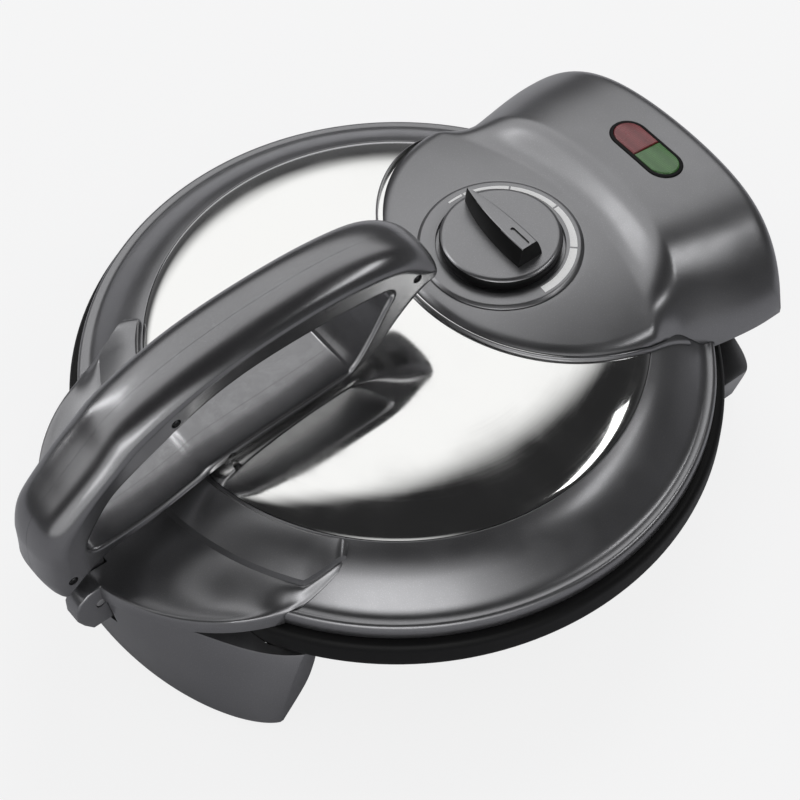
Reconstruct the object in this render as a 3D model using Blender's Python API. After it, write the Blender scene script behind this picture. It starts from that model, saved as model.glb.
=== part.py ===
"""Electric roti maker: a round hinged cooker with a press handle over its lid.

Every place below is in the lid's own frame: the lip's bottom edge is at height zero,
the cooking plates are centred on the Z axis and the hinge is towards +Y.
One empty lifts and shifts the whole part so that it stands on the floor at the origin.
"""
import bpy
import bmesh
from math import asin, atan2, cos, hypot, pi, radians, sin, sqrt
from mathutils import Matrix, Vector

MM = 0.001

# Fits and wall thicknesses
FIT = 0.3 * MM
RUN = 1.0 * MM
WALL = 2.5 * MM
SHEET = 1.0 * MM
OVERRUN = 20.0 * MM

# Lid ring and dome
LIP_RADIUS = 155.0 * MM
RING_BAND = 33.5 * MM
DOME_RADIUS = LIP_RADIUS - RING_BAND
RING_RISE = 29.0 * MM
DOME_RISE = 12.0 * MM
DOME_LEDGE = 3.0 * MM
RING_SHARES = (
    (0.0, 0.0), (0.0, 0.21), (0.02, 0.27), (0.06, 0.30), (0.11, 0.30), (0.17, 0.315), (0.24, 0.37),
    (0.34, 0.48), (0.46, 0.61), (0.60, 0.75), (0.74, 0.865), (0.87, 0.945), (1.0, 1.0),
)
DOME_SHARES = (
    (1.0, 0.0), (0.985, 0.10), (0.955, 0.23), (0.90, 0.40), (0.82, 0.57), (0.70, 0.73),
    (0.55, 0.86), (0.38, 0.94), (0.20, 0.985), (0.0, 1.0),
)

# Cooking plates, heaters and shields
PLATE_MARGIN = 30.0 * MM
PLATE_RADIUS = LIP_RADIUS - PLATE_MARGIN
PLATE_THICKNESS = 5.0 * MM
PLATE_FLANGE = 6.0 * MM
FLANGE_THICKNESS = 2.0 * MM
PLATE_EDGE = 1.2 * MM
HEATER_MARGIN = 43.0 * MM
HEATER_RADIUS = PLATE_RADIUS - HEATER_MARGIN
HEATER_TUBE = 3.4 * MM
HEATER_GAP_ANGLE = 34.0
HEATER_TAIL = 14.0 * MM
HEATER_BEND_SHARE = 2.0
SHIELD_MARGIN = 13.0 * MM
SHIELD_RADIUS = PLATE_RADIUS - SHIELD_MARGIN
SHIELD_LIP = 4.0 * MM
STUD_RADIUS = 4.0 * MM
STUD_MARGIN = 70.0 * MM
STUD_CIRCLE = PLATE_RADIUS - STUD_MARGIN
STUD_COUNT = 3

# Base bowl and its bottom cover
RIM_MARGIN = 5.0 * MM
RIM_RADIUS = LIP_RADIUS + RIM_MARGIN
RIM_DEPTH = 17.0 * MM
RIM_ROUND = 2.4 * MM
BOWL_DEPTH = 53.0 * MM
BOWL_TAPER = 43.0 * MM
BOWL_FLOOR_RADIUS = RIM_RADIUS - BOWL_TAPER
BOWL_NECK = 9.0 * MM
COVER_MARGIN = 19.0 * MM
COVER_RADIUS = BOWL_FLOOR_RADIUS - COVER_MARGIN
COVER_SCREW_INSET = 10.0 * MM
COVER_SCREW_CIRCLE = COVER_RADIUS - COVER_SCREW_INSET
COVER_SCREW_COUNT = 4

# Feet
FOOT_DEPTH = 60.0 * MM
FOOT_WALL = 3.0 * MM
PAD_PROUD = 3.0 * MM
PAD_RADIUS = 8.0 * MM
PAD_SIDE = 62.0 * MM
PAD_INSET = 10.0 * MM
FRONT_TOP_HALF = 93.0 * MM
FRONT_TOP_INSET = 34.0 * MM
FRONT_TOP_NEAR = RIM_RADIUS - FRONT_TOP_INSET
FRONT_TOP_REACH = 30.5 * MM
FRONT_TOP_FAR = RIM_RADIUS + FRONT_TOP_REACH
FRONT_FLOOR_HALF = 95.0 * MM
FRONT_FLOOR_INSET = 17.0 * MM
FRONT_FLOOR_NEAR = RIM_RADIUS - FRONT_FLOOR_INSET
FRONT_FLOOR_REACH = 20.0 * MM
FRONT_FLOOR_FAR = RIM_RADIUS + FRONT_FLOOR_REACH
FRONT_BACK_INSET = 54.0 * MM
FRONT_FOOT_BACK = RIM_RADIUS - FRONT_BACK_INSET
FRONT_FOOT_SIDE = 22.0 * MM
FRONT_FOOT_SIDE_HEIGHT = 37.0 * MM
FOOT_SIDE_SHARES = ((0.0, 0.0), (0.64, 0.46), (0.9, 0.78), (1.0, 1.0))
REAR_TOP_HALF = 100.0 * MM
REAR_TOP_INSET = 20.0 * MM
REAR_TOP_NEAR = RIM_RADIUS - REAR_TOP_INSET
REAR_TOP_FAR = RIM_RADIUS
REAR_FLOOR_HALF = 86.0 * MM
REAR_FLOOR_INSET = 10.0 * MM
REAR_FLOOR_NEAR = RIM_RADIUS - REAR_FLOOR_INSET
REAR_FLOOR_REACH = 9.0 * MM
REAR_FLOOR_FAR = RIM_RADIUS + REAR_FLOOR_REACH
REAR_BACK_INSET = 56.0 * MM
REAR_FOOT_BACK = RIM_RADIUS - REAR_BACK_INSET
REAR_FOOT_TOP = 19.0 * MM
FOOT_SHOULDER_SHARE = 0.58
FRONT_TOP_FULLNESS = 1.8
FRONT_FLOOR_FULLNESS = 1.35
REAR_TOP_FULLNESS = 0.9
REAR_FLOOR_FULLNESS = 1.0
FOOT_BOW = 0.85
FOOT_END_ANGLE = 84.0
FOOT_STATION_COUNT = 21
FOOT_LEVEL_COUNT = 5

# Front bracket: a saddle over the ring, two wings and the handle's barrel
WING_RADIUS = 88.0 * MM
WING_SETBACK = 52.0 * MM
WING_CENTRE = LIP_RADIUS - WING_SETBACK
BRACKET_ANGLE = 41.5
BRACKET_STATION_COUNT = 27
BRACKET_SKIN = 2.6 * MM
BRACKET_INNER = 2.0 * MM
CREASE_INSET = 12.0 * MM
CREASE_RADIUS = LIP_RADIUS - CREASE_INSET
CREASE_STEP = 2.8 * MM
WING_EDGE = 9.5 * MM
WING_DIP = 3.2 * MM
WING_CREASE_SHARE = 0.72
WING_SKIN_SHARE = 0.6
WING_SHARES = (0.05, 0.25, 0.5, 0.75, 0.95, 1.0)
SADDLE_EDGE_SHARE = 0.4
SADDLE_SHARES = (0.0, 0.04, 0.3, 0.6, 0.85, 1.0)
BARREL_NOSE_SHARE = 0.45
BARREL_HALF = 21.0 * MM
BARREL_FRONT = 13.0 * MM
BARREL_TOP = 12.5 * MM
BARREL_BOTTOM = 16.5 * MM
BARREL_BACK = 26.0 * MM

# Press handle: side view measured from its pivot, lengths towards the hinge and up
PIVOT_REACH = 34.0 * MM
PIVOT_Y = -LIP_RADIUS - PIVOT_REACH
PIVOT_Z = -3.0 * MM
PIN_RADIUS = 2.5 * MM
TONGUE_HALF = 10.0 * MM
TONGUE_RADIUS = 10.5 * MM
HANDLE_REACH = 202.0 * MM
HANDLE_HEIGHT = 115.5 * MM
HANDLE_NOSE = 21.0 * MM
HANDLE_HALF = 18.0 * MM
HANDLE_ROUND = 6.0 * MM
HANDLE_ROUND_SHARE = 0.36
HANDLE_SWING = 95.0
HANDLE_EDGE_SHARES = ((0.0, 0.0), (0.45, 0.0), (0.70, 0.10), (0.88, 0.38), (0.97, 0.72), (1.0, 1.15))
OPENING_EDGE_SHARES = ((0.0, 0.0), (0.90, 0.0), (1.0, 0.22))
TONGUE_ARC_ANGLES = (170.0, 370.0)
TONGUE_ARC_COUNT = 12
TONGUE_NECK_SHARES = (0.27, 0.2)
HANDLE_SHARES = (
    (-0.066, 0.105), (-0.104, 0.200), (-0.104, 0.370), (-0.080, 0.515), (-0.012, 0.632), (0.072, 0.750),
    (0.153, 0.857), (0.292, 0.940), (0.431, 0.983), (0.574, 1.0), (0.713, 0.996), (0.837, 0.962),
    (0.921, 0.905), (0.975, 0.828), (1.0, 0.748), (0.990, 0.675), (0.941, 0.610), (0.886, 0.545),
    (0.842, 0.480), (0.797, 0.433), (0.713, 0.390), (0.540, 0.368), (0.391, 0.338), (0.267, 0.305),
    (0.163, 0.260), (0.050, 0.222),
)
OPENING_SHARES = (
    (0.015, 0.325), (0.094, 0.318), (0.203, 0.335), (0.302, 0.372), (0.376, 0.405), (0.688, 0.430),
    (0.738, 0.455), (0.782, 0.550), (0.827, 0.682), (0.851, 0.758), (0.817, 0.798), (0.663, 0.828),
    (0.540, 0.836), (0.426, 0.824), (0.317, 0.780), (0.203, 0.693), (0.089, 0.589), (0.030, 0.468),
    (0.005, 0.385),
)
HANDLE_SCREW_SHARES = ((-0.050, 0.215), (0.258, 0.790), (0.391, 0.372), (0.925, 0.765))
HANDLE_SCREW_RADIUS = 2.0 * MM
HANDLE_SCREW_RECESS = 2.5 * MM
HANDLE_SCREW_DEPTH = 5.0 * MM

# Head cover over the rear of the lid: a draped disc and a raised box
HEAD_HALF = 85.0 * MM
HEAD_DEPTH = 78.0 * MM
HEAD_SETBACK = 63.0 * MM
HEAD_CENTRE = LIP_RADIUS - HEAD_SETBACK
HEAD_PLANE = 44.0 * MM
HEAD_DRAPE = 400.0 * MM
HEAD_EDGE = 4.6 * MM
HEAD_EDGE_WIDTH = 6.5 * MM
HEAD_EDGE_SHARES = ((0.54, 0.18), (0.84, 0.46), (1.0, 1.0))
HEAD_TURN = 60.0
HEAD_ROW_SHARES = (
    (0.0, 0.0), (0.084, 0.047), (0.183, 0.096), (0.283, 0.144), (0.382, 0.198), (0.463, 0.251), (0.525, 0.300),
    (0.559, 0.346), (0.587, 0.390), (0.612, 0.429), (0.637, 0.466), (0.661, 0.505), (0.689, 0.544), (0.742, 0.627),
    (0.798, 0.710), (0.904, 0.866), (1.0, 1.0),
)
HEAD_COLUMN_SHARES = (
    -1.0, -0.88, -0.78, -0.66, -0.52, -0.36, -0.18, 0.0, 0.18, 0.36, 0.52, 0.66, 0.78, 0.88, 1.0,
)
TRIM_PROUD = 1.8 * MM
TRIM_HEIGHT = 2.2 * MM
TRIM_STATION_COUNT = 28
TRIM_SIDE_COUNT = 4
TRIM_SETBACK = 32.0 * MM
TRIM_END = LIP_RADIUS - TRIM_SETBACK
TRIM_SHARES = ((0.0, 1.0), (0.4, 0.95), (0.8, 0.7), (1.0, 0.3))
KNOB_BORE_SHARE = 0.8
BOX_SETBACK = 45.0 * MM
BOX_STEP = LIP_RADIUS - BOX_SETBACK
BOX_RISE_LENGTH = 22.0 * MM
BOX_OVERHANG = 33.0 * MM
BOX_REAR = LIP_RADIUS + BOX_OVERHANG
BOX_FRONT_RISE = 8.0 * MM
BOX_REAR_DROP = 8.0 * MM
BOX_HALF = 94.0 * MM
FLARE_LEAD = 15.0 * MM
BOX_FLARE_START = BOX_STEP - FLARE_LEAD
FLARE_OVERHANG = 5.0 * MM
BOX_FLARE_END = LIP_RADIUS + FLARE_OVERHANG
BOX_BOTTOM = 4.0 * MM
BOX_CURVE = 180.0 * MM
BOX_REAR_BEND_SHARE = 0.8
BOX_ARCH_SHARE = 0.8
BOX_ARCH_POWER = 5.0

# Hinge at the back
HINGE_SETBACK = 20.0 * MM
HINGE_Y = LIP_RADIUS + HINGE_SETBACK
HINGE_Z = -5.0 * MM
HINGE_EYE = 7.0 * MM
HINGE_PIN_RADIUS = 3.0 * MM
HINGE_EAR_SIDE = 60.0 * MM
HINGE_EAR_WIDTH = 8.0 * MM
HINGE_PAD_LENGTH = 20.0 * MM
BASE_EYE_ANGLES = (115.0, -70.0)
LID_EYE_ANGLES = (165.0, 375.0)
EYE_ARC_COUNT = 14
LID_SWING = 100.0
HEAD_BASE_THICKNESS = 2.0 * MM

# Thermostat, knob and dial
KNOB_SETBACK = 91.0 * MM
KNOB_Y = LIP_RADIUS - KNOB_SETBACK
KNOB_RADIUS = 30.0 * MM
KNOB_TOP_RADIUS = 28.0 * MM
KNOB_HEIGHT = 7.5 * MM
KNOB_FIN_HEIGHT = 10.5 * MM
KNOB_FIN_REACH = 27.0 * MM
KNOB_FIN_HALF = 7.5 * MM
KNOB_FIN_SHARES = (
    (-1.0, 0.05), (-0.78, 0.36), (-0.45, 0.68), (-0.05, 0.90), (0.40, 1.0), (0.80, 0.98),
)
KNOB_FIN_RING_SHARES = ((0.55, 1.0), (0.72, 0.94), (0.95, 0.3), (1.0, -0.1))
KNOB_FIN_TAPER_SHARE = 0.9
KNOB_MARK_LENGTH = 10.8 * MM
KNOB_MARK_WIDTH = 1.65 * MM
KNOB_MARK_HEIGHT = 2.1 * MM
KNOB_MARK_PLACE = 13.5 * MM
KNOB_BORE = 3.3 * MM
KNOB_SWING = 178.0
SHAFT_RADIUS = 3.0 * MM
DIAL_RADIUS = 40.5 * MM
DIAL_FLAT = 38.8 * MM
DIAL_HEIGHT = 1.6 * MM
DIAL_HOLE = 31.5 * MM
THERMOSTAT_SIZE = 27.0 * MM
THERMOSTAT_DEPTH = 17.0 * MM
THERMOSTAT_PLATE = 1.2 * MM
THERMOSTAT_PLATE_LENGTH = 46.0 * MM
DOME_HOLE = 27.0 * MM

# Indicator window on the roof of the box
LENS_OVERHANG = 3.0 * MM
LENS_Y = LIP_RADIUS + LENS_OVERHANG
LENS_HALF = 20.5 * MM
LENS_ROUND = 8.5 * MM
LENS_FRAME = 1.8 * MM
LENS_PROUD = 0.9 * MM
LENS_THICKNESS = 4.0 * MM
WINDOW_ARC_COUNT = 10
LAMP_RADIUS = 3.0 * MM
LAMP_LENGTH = 12.0 * MM

# Mains entry
GLAND_SIDE = -42.0 * MM
GLAND_DROP = 40.0 * MM
GLAND_RADIUS = 7.0 * MM
GLAND_FLANGE = 9.5 * MM
GLAND_BORE = 3.6 * MM
GLAND_LENGTH = 16.0 * MM
TERMINAL_LENGTH = 34.0 * MM
TERMINAL_WIDTH = 16.0 * MM
TERMINAL_HEIGHT = 14.0 * MM
SCREW_HEAD = 3.4 * MM
SCREW_HEAD_HEIGHT = 2.0 * MM

# Counts of facets
BIG_ROUND_COUNT = 60
MID_ROUND_COUNT = 36
SMALL_ROUND_COUNT = 16
HEATER_SIDE_COUNT = 8
HEATER_STATION_COUNT = 14

# Places worked out from the sizes above
LIFT = FOOT_DEPTH + PAD_PROUD
FRONT_REACH = HANDLE_NOSE - PIVOT_Y
SHIFT = (FRONT_REACH - BOX_REAR) / 2.0
UPPER_FACE = -3.0 * FIT
LOWER_FACE = UPPER_FACE - FIT
PAN_TOP = FIT + FLANGE_THICKNESS
FLANGE_TOP = PAN_TOP + FIT + FLANGE_THICKNESS
BOX_TOP = HEAD_PLANE + BOX_FRONT_RISE
BOX_ROOF_FRONT = BOX_STEP + BOX_RISE_LENGTH

DEVICE = "device_frame"
places = {}


def clear_scene():
    for item in list(bpy.data.objects):
        bpy.data.objects.remove(item, do_unlink=True)


def make_material(name, color, roughness, metallic):
    material = bpy.data.materials.new(name)
    material.use_nodes = True
    shader = material.node_tree.nodes["Principled BSDF"]
    shader.inputs["Base Color"].default_value = (*color, 1.0)
    shader.inputs["Roughness"].default_value = roughness
    shader.inputs["Metallic"].default_value = metallic
    material.diffuse_color = (*color, 1.0)
    return material


def make_axis(name, at, parent=None):
    axis = bpy.data.objects.new(name, None)
    axis.empty_display_size = PIN_RADIUS
    bpy.context.collection.objects.link(axis)
    axis.location = Vector(at)
    if parent is not None:
        axis.parent = parent
        axis.location = Vector(at) - places[parent.name]
    places[name] = Vector(at) if parent is not None else Vector((0.0, 0.0, 0.0))
    return axis


def make_object(name, mesh, parent, material=None):
    thing = bpy.data.objects.new(name, mesh)
    bpy.context.collection.objects.link(thing)
    thing.parent = parent
    thing.location = -places[parent.name]
    if material is not None:
        mesh.materials.append(material)
    for face in mesh.polygons:
        face.use_smooth = True
    return thing


def finish_mesh(name, build):
    bmesh.ops.remove_doubles(build, verts=build.verts, dist=0.01 * FIT)
    bmesh.ops.recalc_face_normals(build, faces=build.faces)
    mesh = bpy.data.meshes.new(name)
    build.to_mesh(mesh)
    build.free()
    return mesh


def hide_tool(thing):
    thing.hide_render = True
    thing.display_type = "WIRE"
    return thing


def combine(target, other, operation="DIFFERENCE"):
    hide_tool(other)
    step = target.modifiers.new(operation.lower(), "BOOLEAN")
    step.operation = operation
    step.object = other
    step.solver = "EXACT"
    return target


def soften(thing, width, segments=2, angle=50.0):
    step = thing.modifiers.new("rounded_edges", "BEVEL")
    step.width = width
    step.segments = segments
    step.limit_method = "ANGLE"
    step.angle_limit = radians(angle)
    return thing


def blend(start, end, share):
    return start + (end - start) * share


def ease(share):
    share = min(1.0, max(0.0, share))
    return share * share * (3.0 - 2.0 * share)


def look_up(table, share):
    """Reads a table of pairs with rising first values at one place."""
    for (a, b), (c, d) in zip(table, table[1:]):
        if a <= share <= c and c > a:
            return blend(b, d, (share - a) / (c - a))
    return table[0][1] if share < table[0][0] else table[-1][1]


def lathe(profile, segments, middle=(0.0, 0.0)):
    """Turns a closed outline of (radius, height) pairs about an upright axis."""
    build = bmesh.new()
    rings = []
    for radius, height in profile:
        if radius <= FIT * FIT:
            rings.append([build.verts.new((middle[0], middle[1], height))])
            continue
        turn = [2.0 * pi * (k + 0.5) / segments for k in range(segments)]
        rings.append([
            build.verts.new((middle[0] + radius * cos(a), middle[1] + radius * sin(a), height)) for a in turn
        ])
    for ring, after in zip(rings, rings[1:] + rings[:1]):
        join_rings(build, ring, after)
    return build


def join_rings(build, ring, after):
    if len(ring) == 1 and len(after) == 1:
        return
    count = max(len(ring), len(after))
    for k in range(count):
        corners = [ring[k % len(ring)], ring[(k + 1) % len(ring)]]
        corners += [after[(k + 1) % len(after)], after[k % len(after)]]
        unique = list(dict.fromkeys(corners))
        build.faces.new(unique)


def slab(front, back):
    """Closes the space between two grids of points that match row by row."""
    build = bmesh.new()
    fore = [[build.verts.new(p) for p in row] for row in front]
    rear = [[build.verts.new(p) for p in row] for row in back]
    rows = len(fore)
    columns = len(fore[0])
    for i in range(rows - 1):
        for j in range(columns - 1):
            build.faces.new((fore[i][j], fore[i + 1][j], fore[i + 1][j + 1], fore[i][j + 1]))
            build.faces.new((rear[i][j], rear[i][j + 1], rear[i + 1][j + 1], rear[i + 1][j]))
    edge = [(i, 0) for i in range(rows)] + [(rows - 1, j) for j in range(1, columns)]
    edge += [(i, columns - 1) for i in range(rows - 2, -1, -1)] + [(0, j) for j in range(columns - 2, 0, -1)]
    for (a, b), (c, d) in zip(edge, edge[1:] + edge[:1]):
        build.faces.new((fore[a][b], fore[c][d], rear[c][d], rear[a][b]))
    return build


def stacked(rings, floor):
    """Closes a cap made of nested rings of points, whose first ring is the innermost."""
    build = bmesh.new()
    loops = [[build.verts.new(p) for p in ring] for ring in rings]
    base = [build.verts.new((p[0], p[1], floor)) for p in rings[-1]]
    for ring, after in zip(loops, loops[1:] + [base]):
        join_rings(build, ring, after)
    build.faces.new(loops[0])
    build.faces.new(base)
    return build


def prism_x(outline, start, end):
    """Extrudes a side view of (y, z) pairs along X."""
    build = bmesh.new()
    near = [build.verts.new((start, y, z)) for y, z in outline]
    far = [build.verts.new((end, y, z)) for y, z in outline]
    build.faces.new(near)
    build.faces.new(far)
    join_rings(build, near, far)
    return build


def prism_z(outline, low, high):
    """Extrudes a plan of (x, y) pairs along Z."""
    build = bmesh.new()
    below = [build.verts.new((x, y, low)) for x, y in outline]
    above = [build.verts.new((x, y, high)) for x, y in outline]
    build.faces.new(below)
    build.faces.new(above)
    join_rings(build, below, above)
    return build


def rod(radius, start, end, segments=SMALL_ROUND_COUNT):
    """Makes a round bar between two points."""
    build = bmesh.new()
    start, end = Vector(start), Vector(end)
    turn = (end - start).to_track_quat("Z", "X").to_matrix().to_4x4()
    place = Matrix.Translation((start + end) / 2.0) @ turn
    bmesh.ops.create_cone(
        build, cap_ends=True, segments=segments, radius1=radius, radius2=radius,
        depth=(end - start).length, matrix=place,
    )
    return build


def block(size, middle):
    build = bmesh.new()
    place = Matrix.Translation(Vector(middle)) @ Matrix.Diagonal((*size, 1.0))
    bmesh.ops.create_cube(build, size=1.0, matrix=place)
    return build


def circle_points(radius, middle, start, end, count):
    """Points on an arc in a plane, angles in degrees."""
    return [
        (middle[0] + radius * cos(radians(blend(start, end, k / count))),
         middle[1] + radius * sin(radians(blend(start, end, k / count))))
        for k in range(count + 1)
    ]


def offset_line(points, distance):
    """Moves an open line of (a, b) pairs to its left side by a distance."""
    moved = []
    for k, (a, b) in enumerate(points):
        before = points[max(k - 1, 0)]
        after = points[min(k + 1, len(points) - 1)]
        one = Vector((a - before[0], b - before[1]))
        two = Vector((after[0] - a, after[1] - b))
        if one.length == 0.0:
            one = two
        if two.length == 0.0:
            two = one
        one.normalize()
        two.normalize()
        normal = Vector((-one.y - two.y, one.x + two.x))
        normal.normalize()
        lean = max(0.5, normal.dot(Vector((-one.y, one.x))))
        moved.append((a + normal.x * distance / lean, b + normal.y * distance / lean))
    return moved


def shrink_plan(points, distance):
    """Moves a closed anticlockwise plan inwards by a distance."""
    count = len(points)
    moved = []
    for k, (a, b) in enumerate(points):
        before = points[k - 1]
        after = points[(k + 1) % count]
        one = Vector((a - before[0], b - before[1])).normalized()
        two = Vector((after[0] - a, after[1] - b)).normalized()
        normal = Vector((-one.y - two.y, one.x + two.x)).normalized()
        lean = max(0.5, normal.dot(Vector((-one.y, one.x))))
        moved.append((a + normal.x * distance / lean, b + normal.y * distance / lean))
    return moved


# Lid ring, dome and what they cover


def ring_line():
    band = LIP_RADIUS - DOME_RADIUS
    return [(LIP_RADIUS - band * a, RING_RISE * b) for a, b in RING_SHARES]


def ring_height(radius):
    """Height of the lid's outside at a radius, dome included."""
    band = LIP_RADIUS - DOME_RADIUS
    if radius >= DOME_RADIUS:
        return RING_RISE * look_up(RING_SHARES[1:], (LIP_RADIUS - radius) / band)
    table = [(a, b) for a, b in reversed(DOME_SHARES)]
    return RING_RISE + DOME_RISE * look_up(table, radius / DOME_RADIUS)


def dome_line(radius, lift=0.0):
    return [(radius * a, RING_RISE + DOME_RISE * b + lift) for a, b in DOME_SHARES]


def lid_envelope(name, raise_by):
    """A solid of the lid's outside, used to cut what is fitted onto it."""
    skin = [(r, z) for r, z in ring_line()[:-1]] + dome_line(DOME_RADIUS)
    grown = offset_line(skin, -raise_by)
    grown[0] = (LIP_RADIUS + raise_by, -OVERRUN)
    grown[-1] = (0.0, grown[-1][1])
    outline = [(0.0, -OVERRUN)] + grown
    return make_object(name, finish_mesh(name, lathe(outline, BIG_ROUND_COUNT)), device)


def make_lid_ring():
    outer = ring_line()
    inner = offset_line(outer[1:], WALL)
    inner = [p for p in inner if p[0] < LIP_RADIUS - WALL and p[1] < RING_RISE - WALL - SHEET][::2]
    seat = RING_RISE - SHEET - FIT
    ledge = [
        (DOME_RADIUS, seat), (DOME_RADIUS - DOME_LEDGE, seat),
        (DOME_RADIUS - DOME_LEDGE, seat - WALL), (DOME_RADIUS + DOME_LEDGE * 0.5, seat - WALL),
    ]
    skirt = [(LIP_RADIUS - WALL, inner[0][1]), (LIP_RADIUS - WALL, 0.0)]
    outline = outer + ledge + list(reversed(inner)) + skirt
    ring = make_object("lid_ring", finish_mesh("lid_ring", lathe(outline, BIG_ROUND_COUNT)), lid, grey)
    return ring


def make_dome():
    outer = dome_line(DOME_RADIUS - FIT)
    inner = [(r, z - SHEET) for r, z in outer[::-3]]
    mesh = finish_mesh("dome", lathe(outer + inner, BIG_ROUND_COUNT))
    dome = make_object("dome", mesh, lid, chrome)
    low = RING_RISE - OVERRUN
    side = [(0.0, low), (DOME_HOLE, low), (DOME_HOLE, BOX_TOP), (0.0, BOX_TOP)]
    hole = lathe(side, MID_ROUND_COUNT, (0.0, KNOB_Y))
    combine(dome, make_object("dome_hole_tool", finish_mesh("dome_hole_tool", hole), device))
    return dome


def make_lid_pan():
    outline = [
        (PLATE_RADIUS + FIT, FIT), (LIP_RADIUS - WALL - FIT, FIT), (LIP_RADIUS - WALL - FIT, PAN_TOP),
        (PLATE_RADIUS + FIT, PAN_TOP),
    ]
    return make_object("lid_pan", finish_mesh("lid_pan", lathe(outline, BIG_ROUND_COUNT)), lid, black)


def plate_outline(face, direction):
    """A flanged cooking plate: its face looks towards minus the direction."""
    seat = PAN_TOP + FIT if direction > 0.0 else lower_seat()
    thick = face + direction * PLATE_THICKNESS
    back = seat + direction * FLANGE_THICKNESS
    return [
        (0.0, face), (PLATE_RADIUS - PLATE_EDGE, face), (PLATE_RADIUS, face + direction * PLATE_EDGE),
        (PLATE_RADIUS, seat), (PLATE_RADIUS + PLATE_FLANGE, seat), (PLATE_RADIUS + PLATE_FLANGE, back),
        (PLATE_RADIUS - PLATE_FLANGE, back),
        (PLATE_RADIUS - PLATE_FLANGE, max(thick * direction, back * direction - PLATE_EDGE) * direction),
        (0.0, max(thick * direction, back * direction - PLATE_EDGE) * direction),
    ]


def lower_seat():
    return LOWER_FACE - FLANGE_THICKNESS - FIT


def upper_back():
    return max(UPPER_FACE + PLATE_THICKNESS, FLANGE_TOP - PLATE_EDGE)


def lower_back():
    return -max(PLATE_THICKNESS - LOWER_FACE, FLANGE_THICKNESS - lower_seat() - PLATE_EDGE)


def make_plates():
    upper = lathe(plate_outline(UPPER_FACE, 1.0), BIG_ROUND_COUNT)
    make_object("upper_plate", finish_mesh("upper_plate", upper), lid, coating)
    lower = lathe(plate_outline(LOWER_FACE, -1.0), BIG_ROUND_COUNT)
    make_object("lower_plate", finish_mesh("lower_plate", lower), base, coating)


def heater_path(height, direction):
    """Middle line of a heater: most of a ring, with both ends turned away from the plate."""
    bend = HEATER_TUBE * HEATER_BEND_SHARE
    start = radians(90.0 + HEATER_GAP_ANGLE / 2.0)
    away = Vector((0.0, 0.0, direction))
    half = []
    for k in range(HEATER_STATION_COUNT + 1):
        angle = blend(start, 1.5 * pi, k / HEATER_STATION_COUNT)
        half.append(Vector((HEATER_RADIUS * cos(angle), HEATER_RADIUS * sin(angle), height)))
    along = Vector((sin(start), -cos(start), 0.0))
    corner = half[0]
    tail = [corner + along * bend + away * HEATER_TAIL]
    for turn in (90.0, 60.0, 30.0):
        tail.append(corner + along * (bend * sin(radians(turn))) + away * (bend * (1.0 - cos(radians(turn)))))
    half = tail + half
    other = [Vector((-p.x, p.y, p.z)) for p in reversed(half[:-1])]
    return half + other


def make_heater(name, height, direction, parent):
    build = bmesh.new()
    path = heater_path(height, direction)
    rings = []
    for k, point in enumerate(path):
        along = (path[min(k + 1, len(path) - 1)] - path[max(k - 1, 0)]).normalized()
        radial = Vector((point.x, point.y, 0.0)).normalized()
        side = along.cross(radial).normalized()
        over = side.cross(along).normalized()
        turn = [2.0 * pi * s / HEATER_SIDE_COUNT for s in range(HEATER_SIDE_COUNT)]
        rings.append([build.verts.new(point + (over * cos(a) + side * sin(a)) * HEATER_TUBE) for a in turn])
    for ring, after in zip(rings, rings[1:]):
        join_rings(build, ring, after)
    build.faces.new(rings[0])
    build.faces.new(rings[-1])
    return make_object(name, finish_mesh(name, build), parent, steel)


def make_shield(name, height, direction, parent):
    """A dished heat shield whose lip turns towards its plate."""
    top = height + direction * SHEET
    lip = height - direction * SHIELD_LIP
    outline = [
        (0.0, height), (SHIELD_RADIUS - SHEET, height), (SHIELD_RADIUS - SHEET, lip), (SHIELD_RADIUS, lip),
        (SHIELD_RADIUS, top), (0.0, top),
    ]
    shield = make_object(name, finish_mesh(name, lathe(outline, MID_ROUND_COUNT)), parent, steel)
    tail = heater_path(height, direction)[0]
    for side in (-1.0, 1.0):
        low = Vector((side * tail.x, tail.y, height - OVERRUN))
        high = Vector((side * tail.x, tail.y, height + OVERRUN))
        tool = "{}_hole_tool_{}".format(name, "left" if side < 0.0 else "right")
        hole = rod(HEATER_TUBE + 2.0 * RUN, low, high)
        combine(shield, make_object(tool, finish_mesh(tool, hole), device))
    return shield


def make_studs(stem, low, high, parent):
    for k in range(STUD_COUNT):
        angle = 2.0 * pi * k / STUD_COUNT - pi / 2.0
        at = (STUD_CIRCLE * cos(angle), STUD_CIRCLE * sin(angle))
        name = "{}_{}".format(stem, k + 1)
        stud = rod(STUD_RADIUS, (at[0], at[1], low), (at[0], at[1], high))
        make_object(name, finish_mesh(name, stud), parent, steel)


def make_heaters():
    up_line = upper_back() + FIT + HEATER_TUBE
    low_line = lower_back() - FIT - HEATER_TUBE
    make_heater("upper_heater", up_line, 1.0, lid)
    make_heater("lower_heater", low_line, -1.0, base)
    up_shield = up_line + HEATER_TUBE + RUN
    low_shield = low_line - HEATER_TUBE - RUN
    make_shield("upper_shield", up_shield, 1.0, lid)
    make_shield("lower_shield", low_shield, -1.0, base)
    make_studs("upper_stud", upper_back() + FIT, up_shield - FIT, lid)
    floor = -BOWL_DEPTH + WALL
    make_studs("lower_stud", lower_back() - FIT, low_shield + FIT, base)
    make_posts(floor + FIT, low_shield - SHEET - FIT)


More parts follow.
